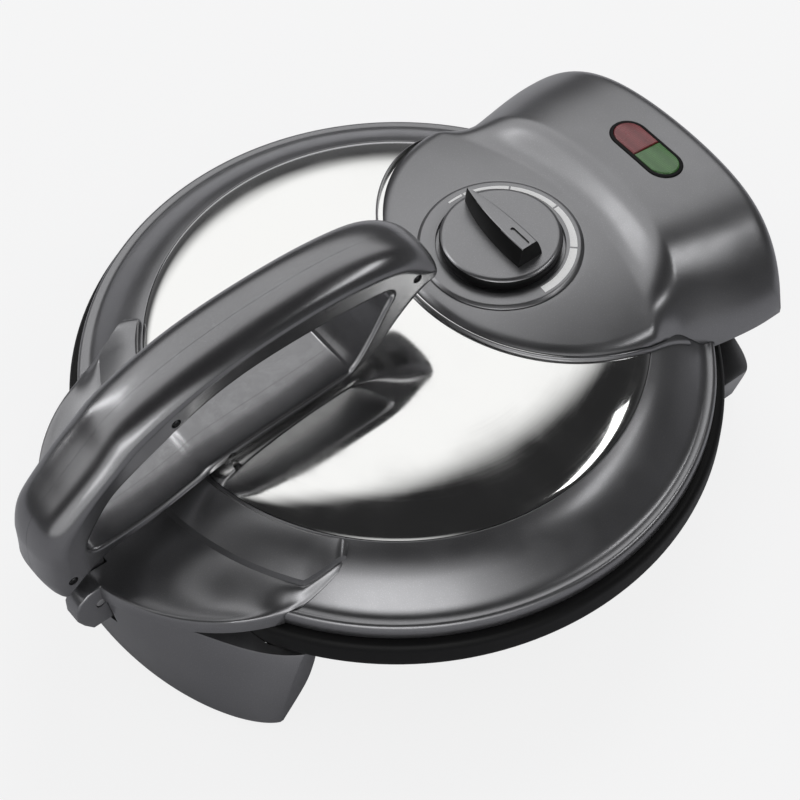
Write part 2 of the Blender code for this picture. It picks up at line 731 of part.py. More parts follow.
def make_posts(low, high):
    """Columns that carry the lower heat shield on the bottom cover."""
    for k in range(STUD_COUNT):
        angle = 2.0 * pi * k / STUD_COUNT - pi / 2.0
        at = (STUD_CIRCLE * cos(angle), STUD_CIRCLE * sin(angle))
        name = "shield_post_{}".format(k + 1)
        post = rod(STUD_RADIUS, (at[0], at[1], low), (at[0], at[1], high))
        make_object(name, finish_mesh(name, post), base, black)


# Base bowl, bottom cover and feet


def bowl_line():
    """Outside of the bowl from its rim down to its floor."""
    return [
        (RIM_RADIUS - RIM_ROUND, -FIT), (RIM_RADIUS, -FIT - RIM_ROUND), (RIM_RADIUS, RIM_ROUND - RIM_DEPTH),
        (RIM_RADIUS - RIM_ROUND, -RIM_DEPTH), (RIM_RADIUS - BOWL_NECK, -RIM_DEPTH - RIM_ROUND),
        (blend(RIM_RADIUS - BOWL_NECK, BOWL_FLOOR_RADIUS, 0.5), -blend(RIM_DEPTH, BOWL_DEPTH, 0.62)),
        (BOWL_FLOOR_RADIUS + BOWL_NECK, RIM_ROUND * 2.0 - BOWL_DEPTH), (BOWL_FLOOR_RADIUS, -BOWL_DEPTH),
    ]


def make_base_shell():
    outer = bowl_line()
    seat = lower_seat() - FIT
    inner = [
        (COVER_RADIUS, -BOWL_DEPTH), (COVER_RADIUS, WALL - BOWL_DEPTH),
        (BOWL_FLOOR_RADIUS - WALL, WALL - BOWL_DEPTH),
        (BOWL_FLOOR_RADIUS + BOWL_NECK - WALL, WALL + RIM_ROUND * 2.0 - BOWL_DEPTH),
        (blend(RIM_RADIUS - BOWL_NECK, BOWL_FLOOR_RADIUS, 0.5) - WALL, WALL - blend(RIM_DEPTH, BOWL_DEPTH, 0.62)),
        (RIM_RADIUS - BOWL_NECK - WALL, WALL - RIM_DEPTH),
        (PLATE_RADIUS + PLATE_FLANGE + FIT, WALL - RIM_DEPTH),
        (PLATE_RADIUS + PLATE_FLANGE + FIT, seat - FLANGE_THICKNESS - WALL),
        (PLATE_RADIUS + FIT - PLATE_EDGE * 2.0, seat - FLANGE_THICKNESS - WALL),
        (PLATE_RADIUS + FIT - PLATE_EDGE * 2.0, seat - FLANGE_THICKNESS),
        (PLATE_RADIUS + PLATE_FLANGE + FIT, seat - FLANGE_THICKNESS),
        (PLATE_RADIUS + PLATE_FLANGE + FIT, -FIT),
    ]
    mesh = finish_mesh("base_shell", lathe(outer + inner, BIG_ROUND_COUNT))
    return make_object("base_shell", mesh, base, black)


def base_envelope():
    grown = offset_line(bowl_line(), FIT)
    grown[0] = (grown[0][0], OVERRUN)
    grown[-1] = (grown[-1][0], -FOOT_DEPTH - OVERRUN)
    outline = [(0.0, OVERRUN)] + grown + [(0.0, -FOOT_DEPTH - OVERRUN)]
    name = "bowl_tool"
    return make_object(name, finish_mesh(name, lathe(outline, BIG_ROUND_COUNT)), device)


def make_bottom_cover():
    radius = COVER_RADIUS - FIT
    low = -BOWL_DEPTH
    outline = [(0.0, low), (radius, low), (radius, low + WALL), (0.0, low + WALL)]
    mesh = finish_mesh("bottom_cover", lathe(outline, MID_ROUND_COUNT))
    cover = make_object("bottom_cover", mesh, base, black)
    for k in range(COVER_SCREW_COUNT):
        angle = 2.0 * pi * (k + 0.5) / COVER_SCREW_COUNT
        at = (COVER_SCREW_CIRCLE * cos(angle), COVER_SCREW_CIRCLE * sin(angle))
        name = "cover_screw_{}".format(k + 1)
        seat = low + SCREW_HEAD_HEIGHT * 0.5
        pocket = rod(SCREW_HEAD + FIT, (at[0], at[1], low - OVERRUN), (at[0], at[1], seat))
        combine(cover, make_object(name + "_tool", finish_mesh(name + "_tool", pocket), device))
        screw = rod(SCREW_HEAD, (at[0], at[1], seat - FIT - SCREW_HEAD_HEIGHT), (at[0], at[1], seat - FIT))
        make_object(name, finish_mesh(name, screw), base, steel)
    return cover


def foot_grids(direction, top, floor, back, top_half, floor_half, top_at, floor_at, inset):
    """Outer and inner faces of a foot that spreads from the rim to the floor."""
    outer = []
    inner = []
    for k in range(FOOT_STATION_COUNT):
        angle = radians(blend(-FOOT_END_ANGLE, FOOT_END_ANGLE, k / (FOOT_STATION_COUNT - 1.0)))
        bulge_top = cos(angle) ** top_at[2]
        bulge_low = cos(angle) ** floor_at[2]
        high_x = (top_half - inset) * sin(angle)
        low_x = (floor_half - inset) * sin(angle)
        high_y = blend(top_at[0], top_at[1], bulge_top) - inset
        low_y = blend(floor_at[0], floor_at[1], bulge_low) - inset
        high_z = top(high_x) - inset
        low_z = floor + inset
        outer_row = []
        inner_row = []
        for j in range(FOOT_LEVEL_COUNT):
            share = j / (FOOT_LEVEL_COUNT - 1.0)
            bow = share ** FOOT_BOW
            x = blend(high_x, low_x, share)
            y = blend(high_y, low_y, bow)
            z = blend(high_z, low_z, share)
            outer_row.append((x, direction * y, z))
            inner_row.append((x, direction * back, z))
        outer.append(outer_row)
        inner.append(inner_row)
    return outer, inner


def front_top(x):
    start = FRONT_TOP_HALF * FOOT_SHOULDER_SHARE
    drop = ease((abs(x) - start) / (FRONT_TOP_HALF - start))
    return -blend(FIT, RIM_DEPTH + RIM_ROUND, drop)


def make_front_foot():
    args = (-1.0, front_top, -FOOT_DEPTH)
    high = (FRONT_TOP_NEAR, FRONT_TOP_FAR, FRONT_TOP_FULLNESS)
    low = (FRONT_FLOOR_NEAR, FRONT_FLOOR_FAR, FRONT_FLOOR_FULLNESS)
    sizes = (FRONT_TOP_HALF, FRONT_FLOOR_HALF, high, low)
    outer, inner = foot_grids(*args, FRONT_FOOT_BACK, *sizes, 0.0)
    foot = make_object("front_foot", finish_mesh("front_foot", slab(outer, inner)), base, grey)
    outer, inner = foot_grids(*args, FRONT_FOOT_BACK - OVERRUN, *sizes, FOOT_WALL)
    name = "front_foot_hollow_tool"
    combine(foot, make_object(name, finish_mesh(name, slab(outer, inner)), device))
    combine(foot, bowl_tool)
    name = "front_foot_notch_tool"
    size = (2.0 * (BARREL_HALF + RUN), OVERRUN * 2.0, 2.0 * (BARREL_BOTTOM + 2.0 * RUN - PIVOT_Z))
    middle = (0.0, PIVOT_Y + BARREL_BACK - OVERRUN - BARREL_FRONT + RUN, 0.0)
    combine(foot, make_object(name, finish_mesh(name, block(size, middle)), device))
    name = "front_foot_side_tool"
    side = []
    for a, b in FOOT_SIDE_SHARES:
        side.append((FRONT_FOOT_SIDE * a - FRONT_FLOOR_NEAR, FRONT_FOOT_SIDE_HEIGHT * b - FOOT_DEPTH))
    side = [(side[0][0] - RUN, -FOOT_DEPTH - OVERRUN)] + side
    side += [(side[-1][0], OVERRUN), (0.0, OVERRUN), (0.0, -FOOT_DEPTH - OVERRUN)]
    wide = FRONT_TOP_HALF + OVERRUN
    combine(foot, make_object(name, finish_mesh(name, prism_x(side, -wide, wide)), device))
    return foot


def rear_top(x):
    return -REAR_FOOT_TOP


def make_rear_foot():
    args = (1.0, rear_top, -FOOT_DEPTH)
    high = (REAR_TOP_NEAR, REAR_TOP_FAR, REAR_TOP_FULLNESS)
    low = (REAR_FLOOR_NEAR, REAR_FLOOR_FAR, REAR_FLOOR_FULLNESS)
    sizes = (REAR_TOP_HALF, REAR_FLOOR_HALF, high, low)
    outer, inner = foot_grids(*args, REAR_FOOT_BACK, *sizes, 0.0)
    foot = make_object("rear_foot", finish_mesh("rear_foot", slab(outer, inner)), base, grey)
    outer, inner = foot_grids(*args, REAR_FOOT_BACK - OVERRUN, *sizes, FOOT_WALL)
    name = "rear_foot_hollow_tool"
    combine(foot, make_object(name, finish_mesh(name, slab(outer, inner)), device))
    combine(foot, bowl_tool)
    start = (GLAND_SIDE, REAR_FLOOR_FAR - OVERRUN, -GLAND_DROP)
    end = (GLAND_SIDE, REAR_FLOOR_FAR + OVERRUN, -GLAND_DROP)
    name = "gland_hole_tool"
    combine(foot, make_object(name, finish_mesh(name, rod(GLAND_RADIUS + FIT, start, end)), device))
    return foot


def make_pads():
    """Rubber feet set into shallow pockets under the two foot mouldings."""
    for label, at in (("front", -FRONT_FLOOR_NEAR - PAD_INSET), ("rear", REAR_FLOOR_NEAR)):
        for side, sign in (("left", -1.0), ("right", 1.0)):
            name = "rubber_pad_{}_{}".format(label, side)
            pad = rod(PAD_RADIUS, (sign * PAD_SIDE, at, -LIFT), (sign * PAD_SIDE, at, -FOOT_DEPTH - FIT))
            make_object(name, finish_mesh(name, pad), base, rubber)


def make_gland():
    name = "cord_gland"
    rear = gland_face()
    half = GLAND_LENGTH / 2.0
    sides = [
        (GLAND_BORE, rear - half), (GLAND_RADIUS, rear - half), (GLAND_RADIUS, rear + FIT), (GLAND_FLANGE, rear + FIT),
        (GLAND_FLANGE, rear + FIT + FOOT_WALL), (GLAND_RADIUS, rear + FIT + FOOT_WALL + RUN),
        (GLAND_RADIUS - RUN, rear + half), (GLAND_BORE, rear + half),
    ]
    build = lathe(sides, SMALL_ROUND_COUNT)
    turn = Matrix.Rotation(-pi / 2.0, 4, "X")
    place = Matrix.Translation((GLAND_SIDE, 0.0, -GLAND_DROP))
    bmesh.ops.transform(build, matrix=place @ turn, verts=build.verts)
    return make_object(name, finish_mesh(name, build), base, black)


def gland_face():
    """How far back the rear foot's outside lies round the gland."""
    share = (GLAND_DROP + GLAND_FLANGE - REAR_FOOT_TOP) / (FOOT_DEPTH - REAR_FOOT_TOP)
    high = blend(REAR_TOP_NEAR, REAR_TOP_FAR, cos(asin(GLAND_SIDE / REAR_TOP_HALF)) ** REAR_TOP_FULLNESS)
    low = blend(REAR_FLOOR_NEAR, REAR_FLOOR_FAR, cos(asin(GLAND_SIDE / REAR_FLOOR_HALF)) ** REAR_FLOOR_FULLNESS)
    return blend(high, low, share ** FOOT_BOW) + RUN


def make_terminal_block():
    size = (TERMINAL_LENGTH, TERMINAL_WIDTH, TERMINAL_HEIGHT)
    at = (0.0, STUD_CIRCLE + TERMINAL_WIDTH, WALL + FIT - BOWL_DEPTH + TERMINAL_HEIGHT / 2.0)
    terminal = make_object("terminal_block", finish_mesh("terminal_block", block(size, at)), base, ivory)
    return soften(terminal, RUN, 1)


# Front bracket


def wing_reach(angle):
    """Plan distance from the plates' axis to the wing's outer edge."""
    across = WING_CENTRE * sin(angle)
    return WING_CENTRE * cos(angle) + sqrt(max(WING_RADIUS ** 2 - across ** 2, 0.0))


def make_front_bracket():
    top = []
    low = []
    inner = DOME_RADIUS + BRACKET_INNER
    for k in range(BRACKET_STATION_COUNT):
        angle = radians(blend(-BRACKET_ANGLE, BRACKET_ANGLE, k / (BRACKET_STATION_COUNT - 1.0)))
        reach = wing_reach(angle)
        crease = min(CREASE_RADIUS, blend(inner, reach, WING_CREASE_SHARE))
        top_row = []
        for share in SADDLE_SHARES:
            radius = blend(inner, crease, share)
            lift = BRACKET_SKIN if share > 0.0 else BRACKET_SKIN * SADDLE_EDGE_SHARE
            top_row.append((radius, ring_height(radius) + lift))
        start = top_row[-1][1] - CREASE_STEP
        level = min(WING_EDGE, start)
        if reach <= LIP_RADIUS:
            level = ring_height(reach) + BRACKET_SKIN * WING_SKIN_SHARE
        for share in WING_SHARES:
            radius = blend(crease, reach, share)
            dip = WING_DIP * sin(pi * share) * ease((reach - LIP_RADIUS) / OVERRUN)
            drop = RUN if share == 1.0 else 0.0
            height = blend(start, level, ease(share)) - dip - drop
            floor = ring_height(min(radius, LIP_RADIUS)) + RUN if radius < LIP_RADIUS else FIT + RUN
            top_row.append((radius, max(height, floor)))
        turned = [(r * sin(angle), -r * cos(angle), z) for r, z in top_row]
        top.append(turned)
        low.append([(x, y, FIT) for x, y, z in turned])
    bracket = make_object("front_bracket", finish_mesh("front_bracket", slab(top, low)), lid, grey)
    for side, sign in (("left", -1.0), ("right", 1.0)):
        name = "barrel_{}_tool".format(side)
        near = sign * (TONGUE_HALF + FIT * 2.0)
        cheek = prism_x(barrel_outline(), min(near, sign * BARREL_HALF), max(near, sign * BARREL_HALF))
        cheek = soften(make_object(name, finish_mesh(name, cheek), device), RUN, 1)
        combine(bracket, cheek, "UNION")
    combine(bracket, lid_tool)
    clear = TONGUE_RADIUS + RUN
    name = "tongue_slot_tool"
    size = (2.0 * (TONGUE_HALF + FIT * 2.0), 2.0 * OVERRUN, 4.0 * OVERRUN)
    middle = (0.0, PIVOT_Y + clear - OVERRUN, 0.0)
    combine(bracket, make_object(name, finish_mesh(name, block(size, middle)), device))
    name = "handle_pin_hole_tool"
    hole = rod(PIN_RADIUS + FIT, (-OVERRUN * 2.0, PIVOT_Y, PIVOT_Z), (OVERRUN * 2.0, PIVOT_Y, PIVOT_Z))
    combine(bracket, make_object(name, finish_mesh(name, hole), device))
    return bracket


def barrel_outline():
    front = PIVOT_Y - BARREL_FRONT
    back = PIVOT_Y + BARREL_BACK
    top = PIVOT_Z + BARREL_TOP
    bottom = PIVOT_Z - BARREL_BOTTOM
    nose = BARREL_FRONT * BARREL_NOSE_SHARE
    return [
        (front, PIVOT_Z + nose * 0.5), (front + nose * 0.4, top - nose * 0.8),
        (front + nose * 1.2, top - nose * 0.2),
        (PIVOT_Y, top), (PIVOT_Y + BARREL_FRONT * 0.9, top - nose * 0.5),
        (PIVOT_Y + BARREL_FRONT * 1.3, FIT + RUN),
        (back, FIT + RUN), (back, FIT), (PIVOT_Y + BARREL_FRONT, FIT),
        (PIVOT_Y + BARREL_FRONT, bottom + nose * 0.8),
        (PIVOT_Y + nose, bottom), (PIVOT_Y - nose, bottom), (front + nose * 0.5, bottom + nose),
        (front, PIVOT_Z - nose * 0.8),
    ]


# Press handle


def handle_points(shares):
    return [(PIVOT_Y + HANDLE_REACH * a, PIVOT_Z + HANDLE_HEIGHT * b) for a, b in shares]


def smooth_loop(points, steps):
    """Rounds a closed outline through its points."""
    count = len(points)
    result = []
    for k in range(count):
        p0, p1, p2, p3 = (Vector(points[(k + s) % count]) for s in (-1, 0, 1, 2))
        for s in range(steps):
            t = s / steps
            value = 0.5 * (2.0 * p1 + (p2 - p0) * t + (2.0 * p0 - 5.0 * p1 + 4.0 * p2 - p3) * t ** 2
                           + (3.0 * p1 - p0 - 3.0 * p2 + p3) * t ** 3)
            result.append((value.x, value.y))
    return result


def distance_to_loop(point, loop):
    """Shortest distance from a point to a closed outline."""
    point = Vector(point)
    best = []
    for a, b in zip(loop, loop[1:] + loop[:1]):
        a, b = Vector(a), Vector(b)
        along = b - a
        share = max(0.0, min(1.0, (point - a).dot(along) / along.length_squared))
        best.append((point - a - along * share).length)
    return min(best)


def handle_outline():
    points = handle_points(HANDLE_SHARES)
    points[2] = (PIVOT_Y - HANDLE_NOSE, points[2][1])
    points[1] = (PIVOT_Y - HANDLE_NOSE, points[1][1])
    return points


def make_handle():
    for side, sign in (("left", -1.0), ("right", 1.0)):
        shape_handle_half(side, sign)
    pin = rod(PIN_RADIUS, (FIT - BARREL_HALF, PIVOT_Y, PIVOT_Z), (BARREL_HALF - FIT, PIVOT_Y, PIVOT_Z))
    make_object("handle_pin", finish_mesh("handle_pin", pin), handle, steel)


def shape_handle_half(side, sign):
    """Sweeps the loop in rings: flat parting face, straight side and rounded outer edges."""
    name = "handle_{}".format(side)
    outline = [(max(y, PIVOT_Y - HANDLE_NOSE), z) for y, z in smooth_loop(handle_outline(), 2)]
    opening = smooth_loop(handle_points(OPENING_SHARES), 2)
    build = bmesh.new()
    outer = []
    plan = list(reversed(outline))
    room = [distance_to_loop(p, opening) for p in plan]
    for depth, inset in HANDLE_EDGE_SHARES:
        ring = []
        for k, wide in enumerate(room):
            ring.append(shrink_plan(plan, min(HANDLE_ROUND, wide * HANDLE_ROUND_SHARE) * inset)[k])
        outer.append([build.verts.new((sign * blend(FIT / 2.0, HANDLE_HALF, depth), y, z)) for y, z in ring])
    inner = []
    for depth, inset in OPENING_EDGE_SHARES:
        ring = shrink_plan(opening, -HANDLE_ROUND * inset)
        inner.append([build.verts.new((sign * blend(FIT / 2.0, HANDLE_HALF, depth), y, z)) for y, z in ring])
    for ring, after in zip(outer, outer[1:]):
        join_rings(build, ring, after)
    for ring, after in zip(inner, inner[1:]):
        join_rings(build, ring, after)
    for ends in (0, -1):
        bridge_flat(build, outer[ends], inner[ends])
    body = make_object(name, finish_mesh(name, build), handle, grey)
    tongue = name + "_tongue_tool"
    neck = circle_points(TONGUE_RADIUS, (PIVOT_Y, PIVOT_Z), *TONGUE_ARC_ANGLES, TONGUE_ARC_COUNT)
    for sideways, share in zip((TONGUE_RADIUS, -TONGUE_RADIUS), TONGUE_NECK_SHARES):
        neck.append((PIVOT_Y + sideways, PIVOT_Z + HANDLE_HEIGHT * share))
    solid = prism_x(neck, sign * FIT / 2.0, sign * TONGUE_HALF)
    combine(body, make_object(tongue, finish_mesh(tongue, solid), device), "UNION")
    if "handle_pin_bore_tool" not in bpy.data.objects:
        hole = rod(PIN_RADIUS + FIT, (-OVERRUN * 2.0, PIVOT_Y, PIVOT_Z), (OVERRUN * 2.0, PIVOT_Y, PIVOT_Z))
        make_object("handle_pin_bore_tool", finish_mesh("handle_pin_bore_tool", hole), device)
    combine(body, bpy.data.objects["handle_pin_bore_tool"])
    return body


def bridge_flat(build, outer, inner):
    """Fills the flat band between two closed rings that lie in one plane."""
    loops = []
    for ring in (outer, inner):
        for a, b in zip(ring, ring[1:] + ring[:1]):
            edge = build.edges.get((a, b)) or build.edges.new((a, b))
            loops.append(edge)
    bmesh.ops.triangle_fill(build, edges=loops, use_beauty=True)


def make_handle_screws():
    body = bpy.data.objects["handle_right"]
    for k, (y, z) in enumerate(handle_points(HANDLE_SCREW_SHARES)):
        name = "handle_screw_{}".format(k + 1)
        outside = HANDLE_HALF - HANDLE_SCREW_DEPTH
        pocket = rod(HANDLE_SCREW_RECESS, (outside, y, z), (HANDLE_HALF + OVERRUN, y, z))
        combine(body, make_object(name + "_tool", finish_mesh(name + "_tool", pocket), device))
        screw = rod(HANDLE_SCREW_RADIUS, (outside + FIT, y, z), (outside + FIT + SCREW_HEAD_HEIGHT, y, z))
        make_object(name, finish_mesh(name, screw), handle, steel)


# Head cover, trim and hinge


def drape(x, y):
    """Height of the disc's top: flat under the dial, then falling gently away."""
    reach = hypot(x, y - KNOB_Y)
    return HEAD_PLANE - max(0.0, reach ** 2 - DIAL_RADIUS ** 2) / (2.0 * HEAD_DRAPE)


def half_width(y):
    """Half width of the head's plan: a half oval in front, then straight, then the box's flare."""
    if y < HEAD_CENTRE:
        return HEAD_HALF * sqrt(max(0.0, 1.0 - ((HEAD_CENTRE - y) / HEAD_DEPTH) ** 2))
    return box_half(y)


def box_half(y):
    return blend(HEAD_HALF, BOX_HALF, ease((y - BOX_FLARE_START) / (BOX_FLARE_END - BOX_FLARE_START)))


def box_bend(x):
    """How far the box's cross lines bend forwards at a distance from the middle."""
    return BOX_CURVE - sqrt(BOX_CURVE ** 2 - x ** 2)


def roof_height(y):
    """The roof falls from the step towards the rear wall."""
    return BOX_TOP - BOX_REAR_DROP * (y - BOX_ROOF_FRONT) / (BOX_REAR - BOX_ROOF_FRONT)


def head_height(x, y):
    """Outside of the head: the draped disc that rises into the arched roof of the box."""
    run = y + box_bend(x)
    across = min(1.0, abs(x) / box_half(y))
    arch = 1.0 - BOX_ARCH_SHARE * across ** BOX_ARCH_POWER
    roof = blend(BOX_BOTTOM, roof_height(run), arch)
    return blend(drape(x, y), roof, ease((run - BOX_STEP) / BOX_RISE_LENGTH))


def head_side(y):
    """Half width of the grid inside the rounded edge."""
    if y < HEAD_CENTRE:
        lean = (HEAD_CENTRE - y) / (HEAD_DEPTH - HEAD_EDGE_WIDTH)
        return (HEAD_HALF - HEAD_EDGE_WIDTH) * sqrt(1.0 - lean ** 2)
    return half_width(y) - HEAD_EDGE_WIDTH


def head_grid():
    """Plan points in rows from the front edge to the rear edge, each row bent towards its ends."""
    turn = radians(HEAD_TURN)
    front = HEAD_CENTRE - HEAD_DEPTH + HEAD_EDGE_WIDTH
    front_end = HEAD_CENTRE - (HEAD_DEPTH - HEAD_EDGE_WIDTH) * cos(turn)
    rear = BOX_REAR - HEAD_EDGE_WIDTH
    rear_end = rear - BOX_REAR_BEND_SHARE * box_bend(BOX_HALF - HEAD_EDGE_WIDTH)
    rows = []
    for middle_share, end_share in HEAD_ROW_SHARES:
        middle = blend(front, rear, middle_share)
        end = blend(front_end, rear_end, end_share)
        row = []
        for across in HEAD_COLUMN_SHARES:
            bend = (1.0 - cos(turn * across)) / (1.0 - cos(turn))
            row.append((head_side(end) * sin(turn * across) / sin(turn), blend(middle, end, bend)))
        rows.append(row)
    return rows


def edge_of(rows):
    """The border of a grid, anticlockwise."""
    right = [row[-1] for row in rows[1:-1]]
    left = [row[0] for row in rows[-2:0:-1]]
    return rows[0] + right + rows[-1][::-1] + left


def capped(grid, rings, floor):
    """Closes a grid of points, the rings round it and a flat floor below them."""
    build = bmesh.new()
    rows = [[build.verts.new(p) for p in row] for row in grid]
    for row, after in zip(rows, rows[1:]):
        for k in range(len(row) - 1):
            build.faces.new((row[k], row[k + 1], after[k + 1], after[k]))
    loops = [edge_of(rows)] + [[build.verts.new(p) for p in ring] for ring in rings]
    ground = [build.verts.new((p[0], p[1], floor)) for p in rings[-1]]
    for ring, after in zip(loops, loops[1:] + [ground]):
        join_rings(build, ring, after)
    build.faces.new(ground)
    return build


def head_solid(wall, floor):
    """The head's outside moved inwards by a wall, closed down to a floor."""
    grid = head_grid()
    rings = []
    for share, fall in HEAD_EDGE_SHARES:
        ring = shrink_plan(edge_of(grid), -share * (HEAD_EDGE_WIDTH - wall))
        rings.append([(x, y, head_height(x, y) - wall - HEAD_EDGE * fall) for x, y in ring])
    return capped([[(x, y, head_height(x, y) - wall) for x, y in row] for row in grid], rings, floor)


def make_head_cover():
    low = BOX_BOTTOM - FIT
    cover = make_object("head_cover", finish_mesh("head_cover", head_solid(0.0, low)), lid, grey)
    name = "head_hollow_tool"
    combine(cover, make_object(name, finish_mesh(name, head_solid(WALL, -OVERRUN)), device))
    combine(cover, lid_tool)
    name = "shaft_hole_tool"
    hole = rod(SHAFT_RADIUS + RUN, (0.0, KNOB_Y, HEAD_PLANE - OVERRUN), (0.0, KNOB_Y, HEAD_PLANE + OVERRUN))
    combine(cover, make_object(name, finish_mesh(name, hole), device))
    name = "lens_hole_tool"
    margin = LENS_FRAME + FIT
    pocket = window_prism(stadium(LENS_HALF + margin, LENS_ROUND + margin), -OVERRUN, OVERRUN)
    combine(cover, make_object(name, finish_mesh(name, pocket), device))
    return cover


def trim_line(grow):
    """Plan of the disc's edge from the left side round the front to the right side."""
    sides = [blend(TRIM_END, HEAD_CENTRE, k / TRIM_SIDE_COUNT) for k in range(TRIM_SIDE_COUNT)]
    left = [(-half_width(y) - grow, y) for y in sides]
    front = []
    for k in range(TRIM_STATION_COUNT + 1):
        angle = radians(blend(-90.0, 90.0, k / TRIM_STATION_COUNT))
        front.append(((HEAD_HALF + grow) * sin(angle), HEAD_CENTRE - (HEAD_DEPTH + grow) * cos(angle)))
    return left + front + [(-x, y) for x, y in reversed(left)]


def make_head_trim():
    """A thin bead that follows the lid's surface round the disc's edge."""
    lines = [trim_line(blend(2.0 * FIT, TRIM_PROUD, share)) for share, height in TRIM_SHARES]
    top = []
    low = []
    for points in zip(*lines):
        row = []
        for (x, y), (share, height) in zip(points, TRIM_SHARES):
            row.append((x, y, ring_height(hypot(x, y)) + FIT + TRIM_HEIGHT * height))
        top.append(row)
        low.append([(x, y, z - TRIM_HEIGHT - WALL) for x, y, z in row])
    trim = make_object("head_trim", finish_mesh("head_trim", slab(top, low)), lid, grey)
    return combine(trim, lid_tool)


def make_head_base():
    """The plate that closes the raised box from below, behind the ring."""
    plan = shrink_plan(edge_of(head_grid()), WALL + FIT - HEAD_EDGE_WIDTH)
    low = BOX_BOTTOM - FIT
    mesh = finish_mesh("head_base", prism_z(plan, low, low + HEAD_BASE_THICKNESS))
    return combine(make_object("head_base", mesh, lid, black), lid_tool)


def ear_outline(low, pad_start, pad_end, start, end):
    """Side view of a hinge ear: an eye round the pin and a flat pad."""
    eye = circle_points(HINGE_EYE, (HINGE_Y, HINGE_Z), start, end, EYE_ARC_COUNT)
    return eye + [(pad_end, low), (pad_start, low)]


def make_hinge():
    """Two ears on the rear foot, two under the lid's box, and a pin through each pair."""
    bore = rod(HINGE_PIN_RADIUS + FIT, (-BOX_HALF, HINGE_Y, HINGE_Z), (BOX_HALF, HINGE_Y, HINGE_Z))
    bore_tool = make_object("hinge_bore_tool", finish_mesh("hinge_bore_tool", bore), device)
    foot_pad = FIT - REAR_FOOT_TOP
    lid_pad = BOX_BOTTOM - FIT - FIT
    for side, sign in (("left", -1.0), ("right", 1.0)):
        start = sqrt((RIM_RADIUS + RUN) ** 2 - HINGE_EAR_SIDE ** 2)
        outline = ear_outline(foot_pad, start, start + HINGE_EYE, *BASE_EYE_ANGLES)
        near = sign * HINGE_EAR_SIDE
        far = sign * (HINGE_EAR_SIDE + HINGE_EAR_WIDTH)
        name = "base_hinge_{}".format(side)
        ear = make_object(name, finish_mesh(name, prism_x(outline, near, far)), base, steel)
        combine(ear, bore_tool)
        outline = ear_outline(lid_pad, HINGE_Y - HINGE_PAD_LENGTH, HINGE_Y + HINGE_EYE, *LID_EYE_ANGLES)
        near = sign * (HINGE_EAR_SIDE - FIT - HINGE_EAR_WIDTH)
        far = sign * (HINGE_EAR_SIDE - FIT)
        name = "lid_hinge_{}".format(side)
        ear = make_object(name, finish_mesh(name, prism_x(outline, near, far)), lid, steel)
        combine(ear, bore_tool)
        name = "hinge_pin_{}".format(side)
        start = (sign * (HINGE_EAR_SIDE - FIT - HINGE_EAR_WIDTH - RUN), HINGE_Y, HINGE_Z)
        end = (sign * (HINGE_EAR_SIDE + HINGE_EAR_WIDTH + RUN), HINGE_Y, HINGE_Z)
        make_object(name, finish_mesh(name, rod(HINGE_PIN_RADIUS, start, end)), base, steel)


# Dial, knob and thermostat


def make_dial():
    low = HEAD_PLANE + FIT
    top = low + DIAL_HEIGHT
    outline = [
        (DIAL_HOLE, low), (DIAL_RADIUS, low), (DIAL_RADIUS, low + DIAL_HEIGHT * 0.2), (DIAL_FLAT, top),
        (DIAL_HOLE, top),
    ]
    mesh = finish_mesh("dial_plate", lathe(outline, MID_ROUND_COUNT, (0.0, KNOB_Y)))
    return make_object("dial_plate", mesh, lid, grey)


def make_knob():
    low = HEAD_PLANE + RUN
    top = low + KNOB_HEIGHT
    bore = low + KNOB_HEIGHT * KNOB_BORE_SHARE
    outline = [
        (0.0, bore), (KNOB_BORE, bore), (KNOB_BORE, low), (KNOB_RADIUS, low),
        (KNOB_RADIUS, low + KNOB_HEIGHT * 0.25),
        (blend(KNOB_TOP_RADIUS, KNOB_RADIUS, 0.4), low + KNOB_HEIGHT * 0.85),
        (KNOB_TOP_RADIUS, top), (0.0, top),
    ]
    mesh = finish_mesh("thermostat_knob", lathe(outline, MID_ROUND_COUNT, (0.0, KNOB_Y)))
    turn = make_object("thermostat_knob", mesh, knob, grey)
    plan = [(KNOB_FIN_REACH * a, KNOB_FIN_HALF * b) for a, b in KNOB_FIN_SHARES]
    plan = plan + [(x, -y) for x, y in reversed(plan)]
    plan = list(reversed(plan))
    rings = []
    for share, rise in KNOB_FIN_RING_SHARES:
        taper = blend(KNOB_FIN_TAPER_SHARE, 1.0, share)
        rings.append([(x * taper, KNOB_Y + y * share, top + KNOB_FIN_HEIGHT * rise) for x, y in plan])
    name = "knob_fin_tool"
    fin = stacked(rings, blend(bore, top, 0.5))
    combine(turn, make_object(name, finish_mesh(name, fin), device), "UNION")
    name = "knob_mark_tool"
    size = (KNOB_MARK_LENGTH, KNOB_MARK_WIDTH, KNOB_MARK_HEIGHT)
    middle = (KNOB_MARK_PLACE, KNOB_Y, top + KNOB_FIN_HEIGHT)
    combine(turn, make_object(name, finish_mesh(name, block(size, middle)), device))
    shaft = rod(SHAFT_RADIUS, (0.0, KNOB_Y, thermostat_top() + FIT), (0.0, KNOB_Y, bore - FIT))
    make_object("knob_shaft", finish_mesh("knob_shaft", shaft), knob, steel)


def thermostat_top():
    return HEAD_PLANE - WALL - 2.0 * FIT - THERMOSTAT_PLATE


